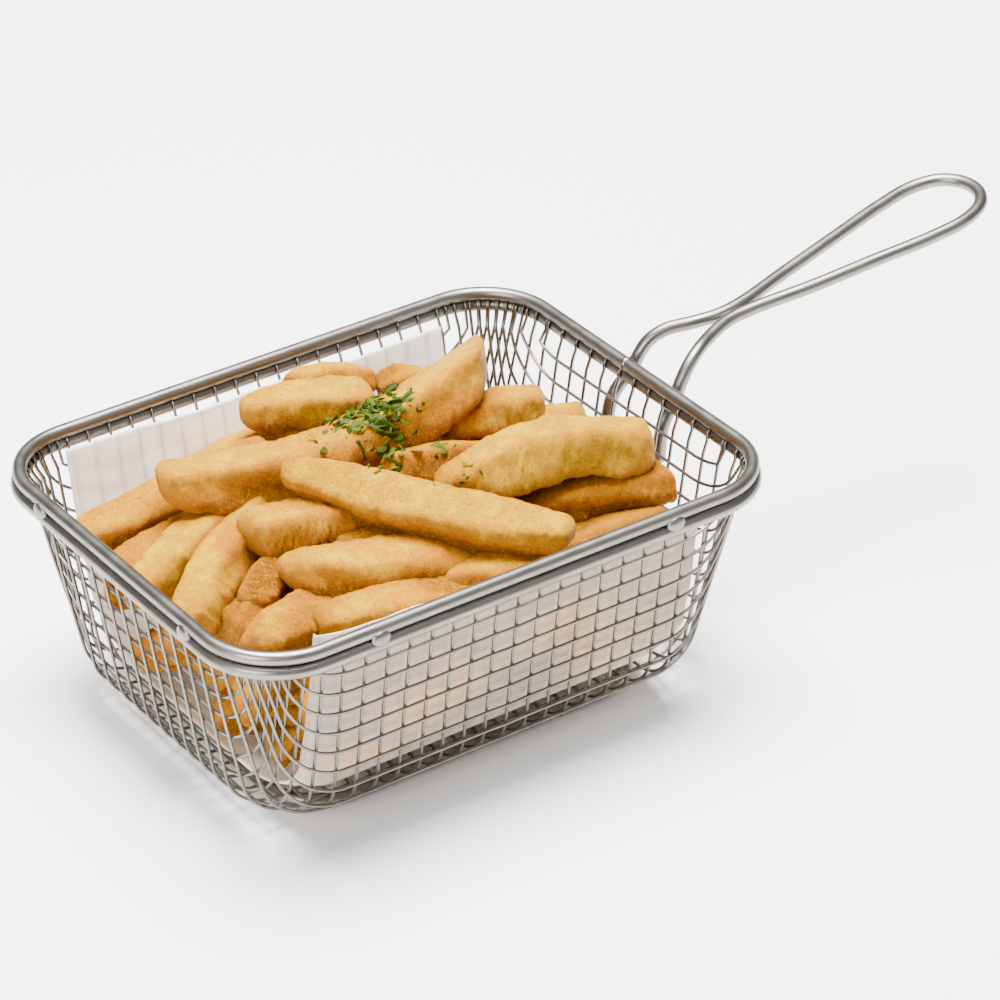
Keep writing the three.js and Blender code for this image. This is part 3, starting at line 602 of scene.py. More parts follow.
def mesh_press_and_shadow_lines(points):
    """How strongly the mesh is pressed in and its wires' shadow painted on: soft lines one pitch apart,
    on walls and floor.
    """
    x, y, z = points.T
    up_wall = np.abs(y) > WALL_FROM
    climb = np.where(up_wall, (z - FLOOR_Z) / PITCH + MARK_SHIFT, y / PITCH)
    lines = [np.exp(-(((at + 0.5) % 1 - 0.5) / MARK_WIDTH) ** 2) for at in (x / PITCH, climb)]
    return np.maximum(lines[0], LEVEL_MARKS * lines[1])


def paper_fat(points):
    """Patches of fat: the sum of round spots where fries lean on the paper from inside."""
    spots = np.exp(-(((points[:, None] - FAT_SPOTS) / FAT_REACH) ** 2).sum(-1))
    return np.minimum(spots.sum(1), 1)


def paper_backed(points):
    """How strong the painted shade on the paper is: a ramp outwards in front, times a ramp down."""
    outwards = np.clip((-points[:, 1] - SHADE_FROM) / (SHADE_TO - SHADE_FROM), 0, 1)
    return outwards * np.clip((UNSHADED_TOP - points[:, 2]) / (UNSHADED_TOP - SHADE_TOP), 0, 1)


def add_product(tree, first, second):
    """Two linked numbers multiplied."""
    node = add_node(tree, "Math", operation="MULTIPLY")
    tree.links.new(first, node.inputs[0])
    tree.links.new(second, node.inputs[1])
    return node.outputs[0]


def let_light_in(skin, weight, reach, depth_mm):
    """Light that spreads under a surface: how much, and how far its red, green and blue go."""
    skin.inputs["Subsurface Weight"].default_value = weight
    skin.inputs["Subsurface Radius"].default_value = reach
    skin.inputs["Subsurface Scale"].default_value = depth_mm * MM


def paper_finish():
    """Warm white paper that lets some light through, with pressed marks and painted shadow of the mesh,
    painted shade on the front wall, and patches of fat.
    """
    material, tree, skin = new_material("greaseproof_paper")
    blotches = add_mottle(tree, Size=9.0, Grain=0.6, Spread=0.25)
    plain = add_mix(tree, blotches, (0.96, 0.78, 0.62, 1), (0.98, 0.82, 0.67, 1))
    marks = add_node(tree, "Attribute", attribute_name="mesh_marks")
    backed = add_node(tree, "Attribute", attribute_name="backed")
    # Painted shade: the lower part of the front wall is painted darker.
    shaded = add_mix(tree, backed.outputs["Fac"], plain, (0.28, 0.225, 0.18, 1))
    # Painted shadow: the wires behind the paper are painted on as soft darker lines; the same lines are
    # pressed in by the bump below.
    softened = add_range(tree, marks.outputs["Fac"], 0, 1, 0.0, 0.75)
    wire_shadowed = add_mix(tree, softened, shaded, (0.50, 0.41, 0.33, 1))
    fat = add_node(tree, "Attribute", attribute_name="fat")
    uneven = add_mottle(tree, Size=7.0, Grain=0.5, Spread=0.2)
    patchy = add_product(tree, fat.outputs["Fac"], uneven)
    greasy = add_mix(tree, patchy, wire_shadowed, (0.66, 0.34, 0.14, 1))
    tree.links.new(greasy, skin.inputs["Base Color"])
    skin.inputs["Roughness"].default_value = 0.62
    let_light_in(skin, 0.4, (1.0, 0.85, 0.7), 1.5)
    fibres = add_mottle(tree, Size=0.8, Grain=0.8, Spread=0.3)
    pressed = add_bump(tree, marks.outputs["Fac"], 0.3, 0.15)
    tree.links.new(add_bump(tree, fibres, 0.2, 0.05, pressed), skin.inputs["Normal"])
    return material


paper_shape = sheet_shell(paper_surface(PAPER_INSET + PAPER), paper_surface(PAPER_INSET))
add_piece(
    "paper", paper_shape, paper_finish(), "paper", "paper_liner",
    mesh_marks=mesh_press_and_shadow_lines(paper_shape[0]), fat=paper_fat(paper_shape[0]),
    backed=paper_backed(paper_shape[0]),
)


# ---- the fries ----
# Sticks of potato, cut square and fried: soft flat sides, rounded edges, ends that are blunt,
# slanting or drawn out.  They lie as they fell, most of them lengthways, with browner ends
# and edges and a thin shine of fat.  Their undersides, the deep of the heap and the gaps
# between them get painted shade, a deeper orange.
# Each row is one fry: tip x y z, tip x y z, width, how much each tip is drawn out, how far
# its middle lies above the straight line, its colour from pale to brown, and how slanting the
# cut at each tip is.  x and y are from the basket's middle and z is from the rim wire.
TOP_FRIES = np.array([
    [-41.1, 22, -2, 33.2, 11, 8, 13.4, 0.25, 0.05, -7, 0.4, 0.1, -0.55],
    [-22.6, 5.2, 4, 18.5, -40.7, -4, 11, 0.68, 0.5, -2, 0.0, 0.3, -0.3],
    [-12.1, 37.1, -2, 13.5, 24.1, -1, 9.8, 0.4, 0.1, 0.5, 0.3, 0.3, 0.3],
    [3.7, 44, -2.5, 18.3, 30.6, -0.5, 7.6, 0.45, 0.5, 0.4, 0.45, -0.5, 0.3],
    [17.4, 29.7, -2, 27.9, 25.3, -1, 7.5, 0.3, 0.3, 0.5, 0.75, 0, 0.2],
    [20.9, 10.6, -4, 45, 6.1, -4, 9.8, 0.45, 0.35, 1, 0.35, 0.1, -0.4],
    [2.5, 6.3, -5, 32.8, -4.4, -9, 9.8, 0.4, 0.3, 0.8, 0.7, 0.2, 0],
    [9.8, -4.8, -8, 53.8, -21.3, -5, 12.6, 0.6, 0.2, 5, 0.2, 0.5, -0.2],
    [24.6, -13.3, -15, 55.6, -23.9, -11.5, 10.6, 0.35, 0.12, 1, 0.62, 0, 0.3],
    [20, -23.4, -19.5, 51.7, -24.9, -19, 9.8, 0.3, 0.1, 0.5, 0.45, 0, 0.3],
    [39.7, 13.6, -15, 56.8, 7.5, -12, 8.8, 0.25, 0.3, 0.5, 0.5, 0, -0.3],
    [-56.7, 31.9, -14, -9.5, 29.7, -8, 10.8, 0.45, 0.35, -1.5, 0.5, -0.3, 0.2],
    [-55.4, 21.1, -18, -28.3, 22.6, -15, 9.5, 0.45, 0.3, 0, 0.7, 0.2, 0],
    [-58.2, 4.7, -14, -18, 21.7, -12, 9.8, 0.3, 0.3, 0.8, 0.15, 0.4, 0.2],
    [-55.1, -10.3, -14.5, -18.5, 17.1, -10, 10.4, 0.25, 0.2, 0.5, 0.05, 0.2, 0],
    [-33.7, 1, -6, -8.1, -5.2, -7, 11.2, 0.25, 0.1, 0.8, 0.32, 0.5, 0.1],
    [-40.2, -10, -16, -24, -2.3, -12.5, 9.4, 0.3, 0.3, 0.5, 1, 0.3, -0.3],
    [-22, 9, -16, -22, -9, -18, 9, 0.3, 0.3, 0, 0.9, 0, 0],
    [-33.5, -12.6, -8, 10, -26.9, -13, 13, 0.58, 0.45, -0.7, 0.35, 0.6, 0],
    [-19, -11, -10, 4, -15, -10, 9, 0.3, 0.3, 0.5, 0.8, 0.2, -0.2],
    [-6.5, -28.6, -12, 19.4, -37.4, -14, 10.4, 0.5, 0.3, 0.5, 0.28, 0.4, 0],
    [-34.5, -25.7, -13, 6.4, -36.2, -16, 9.6, 0.55, 0.3, 0.5, 0.5, 0.3, 0.1],
    [-47.6, -23.4, -14, -21, -17.8, -17, 11.2, 0.6, 0.35, 0, 0.32, 0.5, 0],
    [-42.6, 0.2, -19, -42.4, -20.1, -19, 10, 0.3, 0.35, 0.5, 0.95, -0.3, 0.3],
])
# The ones under them that show through the mesh, at the long walls and on the slope towards
# the handle, and last three that lie over the core.  Their tips are cut at random.
LOWER_FRIES = np.array([
    [-54, 26, -25, -24, 20, -22, 10, 0.25, 0.35, 0.5, 0.60],
    [-55, 0, -26, -25, 6, -24, 10, 0.25, 0.35, 0.5, 0.65],
    [-53, -24, -27, -26, -16, -22, 10, 0.25, 0.35, 0.5, 0.60],
    [-52, 14, -36, -22, 10, -34, 10, 0.25, 0.35, 0.5, 0.75],
    [-51, -12, -37, -22, -14, -35, 10, 0.25, 0.35, 0.5, 0.70],
    [-46, -25, -40, -20, -18, -37, 10, 0.25, 0.35, 0.5, 0.75],
    [-47, 25, -42, -18, 16, -40, 9, 0.25, 0.35, 0.5, 0.70],
    [6, 24, -20, 50, 20, -23, 10, 0.25, 0.35, 0.8, 0.60],
    [8, 3, -22, 52, 0, -25, 10, 0.25, 0.30, 0.8, 0.55],
    [4, -14, -25, 49, -17, -28, 10, 0.25, 0.35, 0.8, 0.65],
    [2, 14, -32, 47, 10, -36, 10, 0.25, 0.35, 0.5, 0.70],
    [0, -4, -34, 46, -8, -38, 10, 0.25, 0.35, 0.5, 0.70],
    [-4, -24, -35, 40, -24, -38, 10, 0.25, 0.35, 0.5, 0.75],
    [-6, 28, -36, 38, 27, -38, 10, 0.25, 0.35, 0.5, 0.75],
    [-24, 39, -15, 16, 38, -12, 10, 0.25, 0.35, 0.5, 0.55],
    [14, 32, -14, 46, 21, -15, 9, 0.25, 0.35, 0.5, 0.55],
    [-48, 37, -24, -6, 37, -24, 9, 0.25, 0.35, 0.5, 0.65],
    [-2, 37, -26, 36, 33, -28, 9, 0.25, 0.35, 0.5, 0.65],
    [-44, -34, -27, 2, -35, -26, 9, 0.25, 0.35, 0.5, 0.65],
    [-13, 3, -13.5, 27, -13, -16, 9.5, 0.25, 0.35, 0.5, 0.55],
    [-3, -12, -15, 32, -22, -18, 9, 0.25, 0.35, 0.5, 0.60],
    [-16, -4, -15.5, 14, -24, -17.5, 9, 0.25, 0.35, 0.5, 0.50],
])
TIP_1, TIP_2, SHAPE = slice(0, 3), slice(3, 6), slice(6, 10)  # columns of a row
COLOUR, SLANTS = 10, slice(11, 13)

SQUARENESS = (4.2, 6.8)  # power of a section, from soft to sharp edges
FLATNESS = (0.84, 1.0)  # height of a section beside its width
FRY_FILL = 0.96  # of its width, to leave room for lumps
CLOSING = (0.15, 0.34)  # widths from a tip over which it closes
CLOSING_POWER = 2.6
THINNING, THINNING_POWER = 0.8, 1.7  # how much and how suddenly a drawn-out tip gets thin
THIN_WIDTHS, THIN_SHARE = 2, 0.45  # over this many widths, this share of the length at most
SLANT_WIDTHS = 1.5  # from a tip, over which its slanting cut dies out
LUMPS = ((1, 0.03), (2, 0.022), (3, 0.018), (6, 0.012), (11, 0.01), (17, 0.009), (26, 0.007))
LOBES = np.array([-3, -1, 1, 2, 4])  # waves round a fry, for each number of waves along it
LUMP_SHIFT = 0.4  # lumps also push a fry's line sideways, by this share
TIP_MARGIN = 0.045  # keeps the first and last stations off the very tips
ONCE_ROUND = 6.3  # radians, for random phases
TIP_BROWN = 0.32  # widths over which a tip's browning fades
EDGE_BROWN, EDGE_BROWN_POWER = 0.75, 1.5  # how brown the edges are beside the tips
UNDER_SHADE, DEEP_SHADE = 0.9, 0.6  # painted shade: what the underside and the depth add to the tone
DEEP_FROM, DEEP_BY = 10, 14  # below the rim, from which painted shade makes fries more golden, and over which
CLOSE = 4.5  # from a fry's side, within which painted shade makes the next one more golden
CLOSE_SHADE, CLOSE_POWER = 0.9, 1.4
AXIS_POINTS = 24  # on a fry's line, for how close another one is
FRY_CLEARANCE = 1.7  # from the middle of the mesh to the nearest a fry comes

# The corners of the box round the core under the fries, z from the rim wire.
CORE_FROM, CORE_TO = np.array([-47, -29, -47]), np.array([37, 31, -15])
CORE_POWERS = np.array([4, 4, 3])
CORE_WIDENING = 0.1  # at its top, and as much narrowing at its bottom
CORE_POLE = 0.02  # radians from each pole to the first ring
CORE_RINGS, CORE_SIDES = 24, 48
draw = np.random.default_rng(7)


def draws_for(count):
    """A function that draws one number between two limits for each of so many shapes."""
    return lambda low, high: draw.uniform(low, high, count)[:, None, None]


def fry_skins(rows, stations, sides):
    """Skins of many fries at once, as points[fry, station, side], their browning, and a tone with
    painted shade.

    A fry runs along a bowed line, its stations packed towards the tips.  Its section is a
    rounded square, one over the p-norm of the direction, flattened, rolled and twisted.  The
    half width narrows with a power of the nearness to a tip that is drawn out, and closes
    over the last millimetres like a squarish ellipse.  Sine waves of random phase make it
    lumpy.
    """
    each = draws_for(len(rows))
    lift = Z * RIM_Z
    first, last = rows[:, None, None, TIP_1] + lift, rows[:, None, None, TIP_2] + lift
    width, drawn_first, drawn_last, bow = rows[:, SHAPE].T[..., None, None]
    spread = np.linspace(TIP_MARGIN, 1 - TIP_MARGIN, stations)[:, None]
    t = (1 - np.cos(np.pi * spread)) / 2
    turn = np.linspace(0, 2 * np.pi, sides, endpoint=False)
    length = np.linalg.norm(last - first, axis=-1)

    power = each(*SQUARENESS)
    square = (np.abs(np.cos(turn)) ** power + np.abs(np.sin(turn)) ** power) ** (-1 / power)
    half = width / 2
    for distance, drawn in ((t * length, drawn_first), ((1 - t) * length, drawn_last)):
        closing = np.minimum(distance / (width * each(*CLOSING)), 1)
        thin_over = np.minimum(length * THIN_SHARE, width * THIN_WIDTHS)
        nearness = 1 - np.minimum(distance / thin_over, 1)
        thinned = 1 - THINNING * drawn * nearness**THINNING_POWER
        half = half * (1 - (1 - closing) ** CLOSING_POWER) ** 0.5 * thinned
    lumps = 0
    for waves, swell in LUMPS:
        for lobes in LOBES * (1 + waves // 9):
            lumps = lumps + swell * each(-1, 1) * np.sin(
                2 * np.pi * waves * t * each(0.8, 1.3) + lobes * turn + each(0, ONCE_ROUND)
            )
    radius = half * square * (1 + lumps) * FRY_FILL

    roll = each(-0.45, 0.45) + (t - 0.5) * each(-0.5, 0.5)
    flat = each(*FLATNESS)
    aside, above = radius * np.cos(turn), radius * np.sin(turn) * flat
    aside, above = (
        aside * np.cos(roll) - above * np.sin(roll),
        aside * np.sin(roll) + above * np.cos(roll),
    )
    along = (last - first) / length[..., None]
    side = unit(np.cross(along, Z))
    up = np.cross(side, along)
    slant_first, slant_last = rows[:, SLANTS].T[..., None, None]
    slant = slant_first * (1 - np.minimum(t * length / width / SLANT_WIDTHS, 1))
    slant = slant + slant_last * (1 - np.minimum((1 - t) * length / width / SLANT_WIDTHS, 1))
    reach = t * length + slant * aside
    arch = np.sin(np.pi * t)
    aside = aside + arch * each(-0.035, 0.035) * length + LUMP_SHIFT * half * lumps
    above = above + arch * bow
    points = first + along * reach[..., None] + side * aside[..., None] + up * above[..., None]

    tip_gap = np.minimum(t, 1 - t) * length / width + 0 * turn
    edge = (square - 1) / (2 ** (0.5 - 1 / power) - 1 + 1e-6) * np.ones_like(tip_gap)
    browned_edge = EDGE_BROWN * np.clip(edge, 0, 1) ** EDGE_BROWN_POWER
    browning = np.exp(-tip_gap / TIP_BROWN) + browned_edge
    # Painted shade: the tone gets more orange and browner on a fry's underside and deep below the rim.
    underside = np.clip(0.2 - above / half, 0, 1)
    depth = np.clip((RIM_Z - DEEP_FROM - points[..., 2]) / DEEP_BY, 0, 1)
    tone = rows[:, None, None, COLOUR] + UNDER_SHADE * underside + DEEP_SHADE * depth
    return points, browning, tone


def closeness(points, rows):
    """For the points of each fry: from 1 at another fry's side to 0 where that is far."""
    t = np.linspace(0, 1, AXIS_POINTS)[:, None]
    first, last = rows[:, None, TIP_1], rows[:, None, TIP_2]
    width, _, _, bow = rows[:, SHAPE].T[..., None, None]
    axes = first + (last - first) * t + Z * (RIM_Z + bow * np.sin(np.pi * t))
    halves = np.repeat(width[..., 0] / 2, len(t), axis=1)
    near = []
    for index, own in enumerate(points):
        axis = np.delete(axes, index, 0).reshape(-1, 3)
        squares = (own**2).sum(-1)[:, None] + (axis**2).sum(-1) - 2 * own @ axis.T
        gaps = np.sqrt(np.maximum(squares, 0)) - np.delete(halves, index, 0).ravel()
        near.append(np.clip(1 - gaps.min(1) / CLOSE, 0, 1))
    return np.array(near)


def settle(points):
    """Press what comes too close to the basket back inside it, along the tray's normal."""
    for _ in range(3):
        outside = np.maximum(tray_distance(points) + FRY_CLEARANCE, 0)
        points = points - tray_normal(points) * outside[..., None]
    return points


def many_tubes_faces(count, stations, sides):
    """Faces of many like open tubes, whose points follow one after the other."""
    faces = tube_faces(stations, sides, False)
    return (faces + np.arange(count)[:, None, None] * stations * sides).reshape(-1, 4)


def fry_shape(rows, others, stations, sides):
    """Many fries as one mesh, with the browning and the tone, painted shade included, of every point.
    """
    points, browning, tone = fry_skins(rows, stations, sides)
    points = settle(points).reshape(len(rows), -1, 3)
    near = closeness(points, np.concatenate([rows, others]))
    # Painted shade: the tone is darker orange where another fry comes close.
    tone = tone.reshape(len(rows), -1) + CLOSE_SHADE * near**CLOSE_POWER
    faces = many_tubes_faces(len(rows), stations, sides)
    return (points.reshape(-1, 3), faces), browning.ravel(), tone.ravel()


def inner_fries(count):
    """Fries of the inside of the heap, by seeded draws: lengthways within 30 degrees."""
    middle = np.stack([
        draw.uniform(-30, 26, count),
        draw.uniform(-27, 27, count),
        draw.uniform(-42, -17, count),
    ], -1)
    turn = draw.uniform(-0.5, 0.5, count)
    half_length = draw.uniform(14, 26, count)[:, None]
    reach = half_length * np.stack([np.cos(turn), np.sin(turn), 0.12 * turn], -1)
    width = draw.uniform(8.5, 10.5, count)
    drawn_out = draw.uniform(0.2, 0.4, (2, count))
    bow, colour = draw.uniform(0, 1, count), draw.uniform(0.5, 0.95, count)
    looks = np.stack([width, *drawn_out, bow, colour], -1)
    return np.concatenate([middle - reach, middle + reach, looks], 1)


def heap_core():
    """What fills the middle of the heap: a ball squared off towards a box, wider at the top."""
    turn = np.linspace(0, 2 * np.pi, CORE_SIDES, endpoint=False)
    rise = np.linspace(-np.pi / 2 + CORE_POLE, np.pi / 2 - CORE_POLE, CORE_RINGS)[:, None]
    ball_points = np.stack([
        np.cos(rise) * np.cos(turn),
        np.cos(rise) * np.sin(turn),
        np.sin(rise) + 0 * turn,
    ], -1)
    size = np.abs(ball_points) ** CORE_POWERS
    unit_points = ball_points / size.sum(-1, keepdims=True) ** (1 / CORE_POWERS[0])
    unit_points[..., :2] *= 1 + CORE_WIDENING * unit_points[..., 2:]
    points = CORE_FROM + (CORE_TO - CORE_FROM) * (unit_points + 1) / 2 + Z * RIM_Z
    return points.reshape(-1, 3), tube_faces(CORE_RINGS, CORE_SIDES, False)


def fried_potato():
    """Golden skin, browner by tip, edge and a tone that holds painted shade, dotted with specks, with a
    sheen of fat.
    """
    material, tree, skin = new_material("fried_potato")
    tone = add_node(tree, "Attribute", attribute_name="tone").outputs["Fac"]
    browning = add_node(tree, "Attribute", attribute_name="browning").outputs["Fac"]
    to_golden = add_range(tree, tone, 0.0, 0.5)
    golden = add_mix(tree, to_golden, (0.58, 0.295, 0.0, 1), (0.62, 0.270, 0.0, 1))
    cloudy = add_mottle(tree, Size=5.0, Grain=0.7, Spread=0.13)
    milky = add_mix(tree, add_range(tree, cloudy, 0.35, 0.85, 0, 1.0), golden, (0.74, 0.425, 0.0, 1))
    # The tone is each fry's own colour plus painted shade: undersides, deep fries and the gaps between
    # fries are painted more orange and browner through it.
    orange = add_mix(tree, add_range(tree, tone, 0.35, 1.0), milky, (0.54, 0.185, 0.0, 1))
    body = add_mix(tree, add_range(tree, tone, 0.95, 1.6), orange, (0.25, 0.076, 0.0, 1))
    grain = add_mottle(tree, Size=0.6, Grain=0.8, Spread=0.12)
    pitted = add_mix(tree, add_range(tree, grain, 0.55, 1.0, 0, 0.8), body, (0.34, 0.122, 0.0, 1))
    grainy = add_mix(tree, add_range(tree, grain, 0.0, 0.4, 0.7, 0), pitted, (0.74, 0.44, 0.0, 1))
    patches = add_mottle(tree, Size=3.2, Grain=0.65, Spread=0.15)
    crisped = add_product(
        tree, add_range(tree, browning, 0.2, 1.15), add_range(tree, patches, 0.1, 0.9, 0.25, 1.0)
    )
    toasted = add_mix(tree, crisped, grainy, (0.45, 0.162, 0.0, 1))
    dots = add_node(tree, "TexVoronoi", Scale=0.42 / MM, Randomness=1.0)
    place = add_node(tree, "TexCoord")
    tree.links.new(place.outputs["Object"], dots.inputs["Vector"])
    near = add_range(tree, dots.outputs["Distance"], 0.05, 0.11, 1.0, 0.0)
    rare = add_range(tree, add_mottle(tree, Size=1.9, Grain=0.4, Spread=0.2), 0.62, 0.75)
    specked = add_mix(tree, add_product(tree, near, rare), toasted, (0.30, 0.11, 0.02, 1))
    tree.links.new(specked, skin.inputs["Base Color"])
    crumb = add_mottle(tree, Size=0.5, Grain=0.8, Spread=0.14)
    tree.links.new(add_range(tree, crumb, 0.2, 0.9, 0.52, 0.34), skin.inputs["Roughness"])
    let_light_in(skin, 0.6, (1.0, 0.4, 0.05), 2.0)
    skin.inputs["Specular IOR Level"].default_value = 0.08
    tree.links.new(add_range(tree, cloudy, 0.4, 0.9, 0.02, 0.16), skin.inputs["Coat Weight"])
    skin.inputs["Coat Roughness"].default_value = 0.2
    dents = add_mottle(tree, Size=2.2, Grain=0.7, Spread=0.2)
    dented = add_bump(tree, dents, 0.8, 0.6)
    tree.links.new(add_bump(tree, crumb, 1.0, 0.35, dented), skin.inputs["Normal"])
    tree.links.new(add_bump(tree, crumb, 1.0, 0.5, dented), skin.inputs["Coat Normal"])
    return material


def add_fries(name, shape, browning, tone):
    """A piece of fried potato in place of the heap."""
    add_piece(name, shape, potato, "fries", "fries_heap", browning=browning, tone=tone)


INNER_COUNT = 34
LOWER_SLANT = 0.9  # the most a lower fry's tip is cut at a slant
# The core shows in the gaps between the fries; its tone paints it the deep orange of the shade there.
CORE_SHADE_TONE = 0.9

potato = fried_potato()
lower_rows = np.concatenate([LOWER_FRIES, inner_fries(INNER_COUNT)])
lower_slants = draw.uniform(-LOWER_SLANT, LOWER_SLANT, (len(lower_rows), 2))
lower_rows = np.hstack([lower_rows, lower_slants])
top_shape, top_browning, top_tone = fry_shape(TOP_FRIES, lower_rows, stations=88, sides=46)
add_fries("fries_on_top", top_shape, top_browning, top_tone)
add_fries("fries_below", *fry_shape(lower_rows, TOP_FRIES, stations=40, sides=28))
core_shape = heap_core()
core_shade_tone = np.full(len(core_shape[0]), CORE_SHADE_TONE)
add_fries("fries_core", core_shape, core_shade_tone, core_shade_tone)


# ---- the parsley ----
# Parsley chopped small and strewn over the top fries: curled scraps of leaf with a ragged
# outline, most of them in one loose clump, with small clumps and strays round it.
# Each row is one clump: x and y of its middle, its spread along and across, how it is turned
# in degrees, how many scraps, and how large they are.
CLUMPS = np.array([
    [5, 14.2, 8.5, 7, -25, 190, 4.0],
    [6.2, 9.2, 5, 5, -50, 45, 4.4],
    [-1.4, 21.5, 1.8, 1.2, 0, 7, 3.4],
    [13.6, -1.8, 2.6, 1.2, 30, 6, 3.6],
    [3.8, 1.6, 3.6, 1.6, -20, 11, 3.4],
    [-3.5, -10, 4.6, 1.2, -30, 11, 2.8],
    [12.2, -10.4, 2.6, 1.2, 20, 8, 3.4],
    [2.4, -16.6, 1.6, 0.8, 0, 3, 2.4],
    [4.3, 2.6, 9, 7, -45, 16, 1.1],
])
CLUMP_SPREAD = 0.55  # standard deviation of the draws, as a share of a clump's spread
LEAF_STATIONS, LEAF_SIDES = 9, 6
LEAF_TILT = 0.35  # how far scraps lean away from the skin they lie on
DROP_FROM = 200.0  # height from which scraps are let fall onto the fries


def scrap_places():
    """Spots of all scraps: normal draws round each clump, let fall on the fries below."""
    skin = BVHTree.FromPolygons(top_shape[0].tolist(), top_shape[1].tolist())
    spots, normals, sizes = [], [], []
    for x, y, along, across, turn, count, size in CLUMPS:
        cosine, sine = np.cos(np.radians(turn)), np.sin(np.radians(turn))
        draws = draw.normal(0, CLUMP_SPREAD, (int(count), 2)) * [along, across]
        for a, b in draws:
            ray_from = Vector((x + a * cosine - b * sine, y + a * sine + b * cosine, DROP_FROM))
            hit, normal, _, _ = skin.ray_cast(ray_from, Vector((0, 0, -1)))
            if hit:
                spots.append(hit)
                normals.append(normal)
                sizes.append(size * draw.uniform(0.55, 1.25))
    return np.array(spots), np.array(normals), np.array(sizes)


def leaf_scraps(spots, normals, sizes):
    """Curled scraps: flattened tubes whose width swells and shrinks along a short bent line."""
    count = len(spots)
    each = draws_for(count)
    s = np.linspace(-0.97, 0.97, LEAF_STATIONS)[:, None]
    turn = np.linspace(0, 2 * np.pi, LEAF_SIDES, endpoint=False)
    lobes = 0.62 + 0.38 * np.cos(each(4, 8) * s + each(0, ONCE_ROUND))
    wide = (1 - s**2) ** 0.5 * lobes * each(0.22, 0.5)
    size = sizes[:, None, None]
    aside = size * (wide * np.cos(turn) + 0.16 * np.sin(3 * s + each(0, ONCE_ROUND)))
    curl = each(-0.1, 0.45) * s**2 + each(-0.8, 0.8) * (wide * np.cos(turn)) ** 2
    above = size * curl + 0.07 * np.sin(turn) + 0.12 + 0.25 * each(0, 1) * size * 0.3
    along = size * s * 0.75 + 0 * turn
    heading = draw.uniform(0, 2 * np.pi, count)[:, None]
    tilted = unit(normals + LEAF_TILT * draw.normal(0, 1, (count, 3)))
    forward = np.concatenate([np.cos(heading), np.sin(heading), 0 * heading], 1)
    side = unit(np.cross(tilted, forward))
    forward = np.cross(side, tilted)
    axes = [axis[:, None, None, :] for axis in (forward, side, tilted)]
    points = spots[:, None, None, :] + sum(
        amount[..., None] * axis for amount, axis in zip((along, aside, above), axes)
    )
    faces = many_tubes_faces(count, LEAF_STATIONS, LEAF_SIDES)
    tone = each(0, 1) + 0 * along
    return (points.reshape(-1, 3), faces), tone.ravel()


def parsley_leaf():
    """Fresh dark green, paler on some scraps, matt and a little uneven."""
    material, tree, skin = new_material("parsley_leaf")
    tone = add_node(tree, "Attribute", attribute_name="tone").outputs["Fac"]
    fresh = add_mix(tree, tone, (0.013, 0.024, 0.001, 1), (0.060, 0.085, 0.004, 1))
    veins = add_mottle(tree, Size=0.7, Grain=0.6, Spread=0.25)
    veined = add_range(tree, veins, 0.5, 1.0, 0, 0.5)
    tree.links.new(
        add_mix(tree, veined, fresh, (0.09, 0.12, 0.01, 1)), skin.inputs["Base Color"]
    )
    skin.inputs["Roughness"].default_value = 0.5
    skin.inputs["Specular IOR Level"].default_value = 0.1
    let_light_in(skin, 0.15, (0.4, 1.0, 0.2), 0.4)
    tree.links.new(add_bump(tree, veins, 0.4, 0.1), skin.inputs["Normal"])
    return material


leaf_shape, leaf_tone = leaf_scraps(*scrap_places())
add_piece("parsley", leaf_shape, parsley_leaf(), "fries", "fries_heap", tone=leaf_tone)


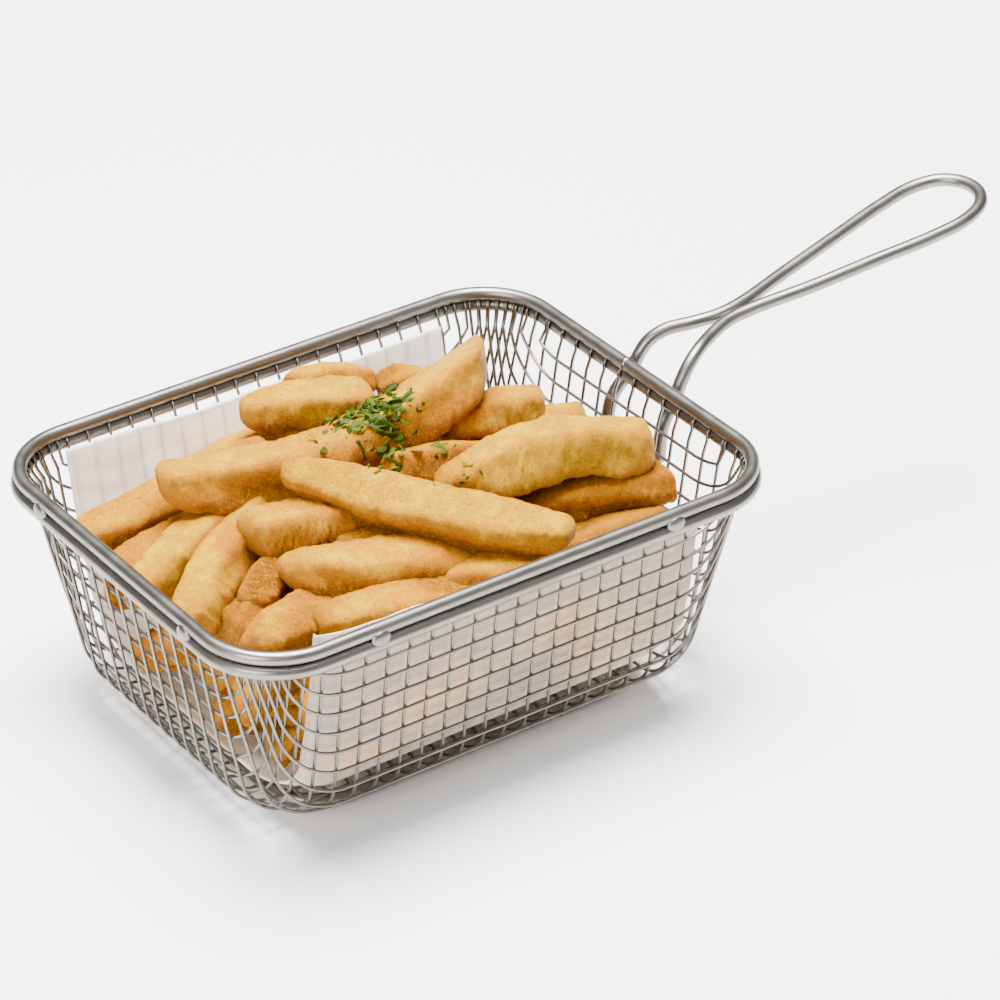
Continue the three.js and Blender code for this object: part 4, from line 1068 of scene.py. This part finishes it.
# ---- the setting ----
# A pale, matt table top so wide that its edges stay out of sight, three soft boxes of light,
# the strongest of them overhead, a dim white surround, and the camera.
TABLE_REACH = 6.0  # metres from its middle to each edge
TABLE_Z = -0.0001  # just under the foot wire
TABLE_CORNERS = ((-1, -1), (1, -1), (1, 1), (-1, 1))
table_mesh = bpy.data.meshes.new("table")
table_mesh.from_pydata(
    [(x * TABLE_REACH, y * TABLE_REACH, TABLE_Z) for x, y in TABLE_CORNERS], [], [(0, 1, 2, 3)]
)
table_top = bpy.data.objects.new("table", table_mesh)
bpy.context.collection.objects.link(table_top)
table_finish, _, table_skin = new_material("pale_table")
table_skin.inputs["Base Color"].default_value = (0.92, 0.92, 0.915, 1)
table_skin.inputs["Roughness"].default_value = 0.6
table_mesh.materials.append(table_finish)


def soft_box(name, place, aim, size, power):
    """A square area light, its place and aim in metres."""
    light = bpy.data.lights.new(name, "AREA")
    light.shape, light.size, light.energy = "SQUARE", size, power
    lamp = bpy.data.objects.new(name, light)
    lamp.location = place
    lamp.rotation_mode = "QUATERNION"
    lamp.rotation_quaternion = (Vector(aim) - Vector(place)).to_track_quat("-Z", "Y")
    bpy.context.collection.objects.link(lamp)


LIT_HEIGHT = 40  # of the point in the heap that every lamp faces
HEAP = tuple((MIDDLE + Z * LIT_HEIGHT) * MM)
soft_box("key", (0.0, 0.12, 1.1), HEAP, 0.65, 84)
soft_box("fill", (0.5, -1.1, 0.6), HEAP, 0.9, 1)
soft_box("side", (-1.0, -0.4, 0.5), HEAP, 0.6, 14)

world = bpy.data.worlds.new("studio")
world.use_nodes = True
surround = world.node_tree.nodes["Background"]
surround.inputs["Color"].default_value = (1, 0.99, 0.975, 1)
surround.inputs["Strength"].default_value = 0.42
bpy.context.scene.world = world

VIEW_AZIMUTH, VIEW_ELEVATION = np.radians([-34.64, 31.64])
VIEW_ROLL = np.radians(-0.67)
VIEW_DISTANCE = 917.9
VIEW_AIM = np.array([11.2, -25.3, RIM_Z - 0.2])  # the point that the camera faces
FOCAL_LENGTH, SENSOR = 161.65, 36  # millimetres
to_camera = np.array([
    np.sin(VIEW_AZIMUTH) * np.cos(VIEW_ELEVATION),
    -np.cos(VIEW_AZIMUTH) * np.cos(VIEW_ELEVATION),
    np.sin(VIEW_ELEVATION),
])
lens = bpy.data.cameras.new("camera")
lens.sensor_width, lens.lens = SENSOR, FOCAL_LENGTH
camera = bpy.data.objects.new("camera", lens)
camera.location = (MIDDLE + VIEW_AIM + VIEW_DISTANCE * to_camera) * MM
camera.rotation_mode = "QUATERNION"
level = Vector(-to_camera).to_track_quat("-Z", "Y")
camera.rotation_quaternion = level @ Quaternion((0, 0, 1), VIEW_ROLL)
bpy.context.collection.objects.link(camera)
bpy.context.scene.camera = camera
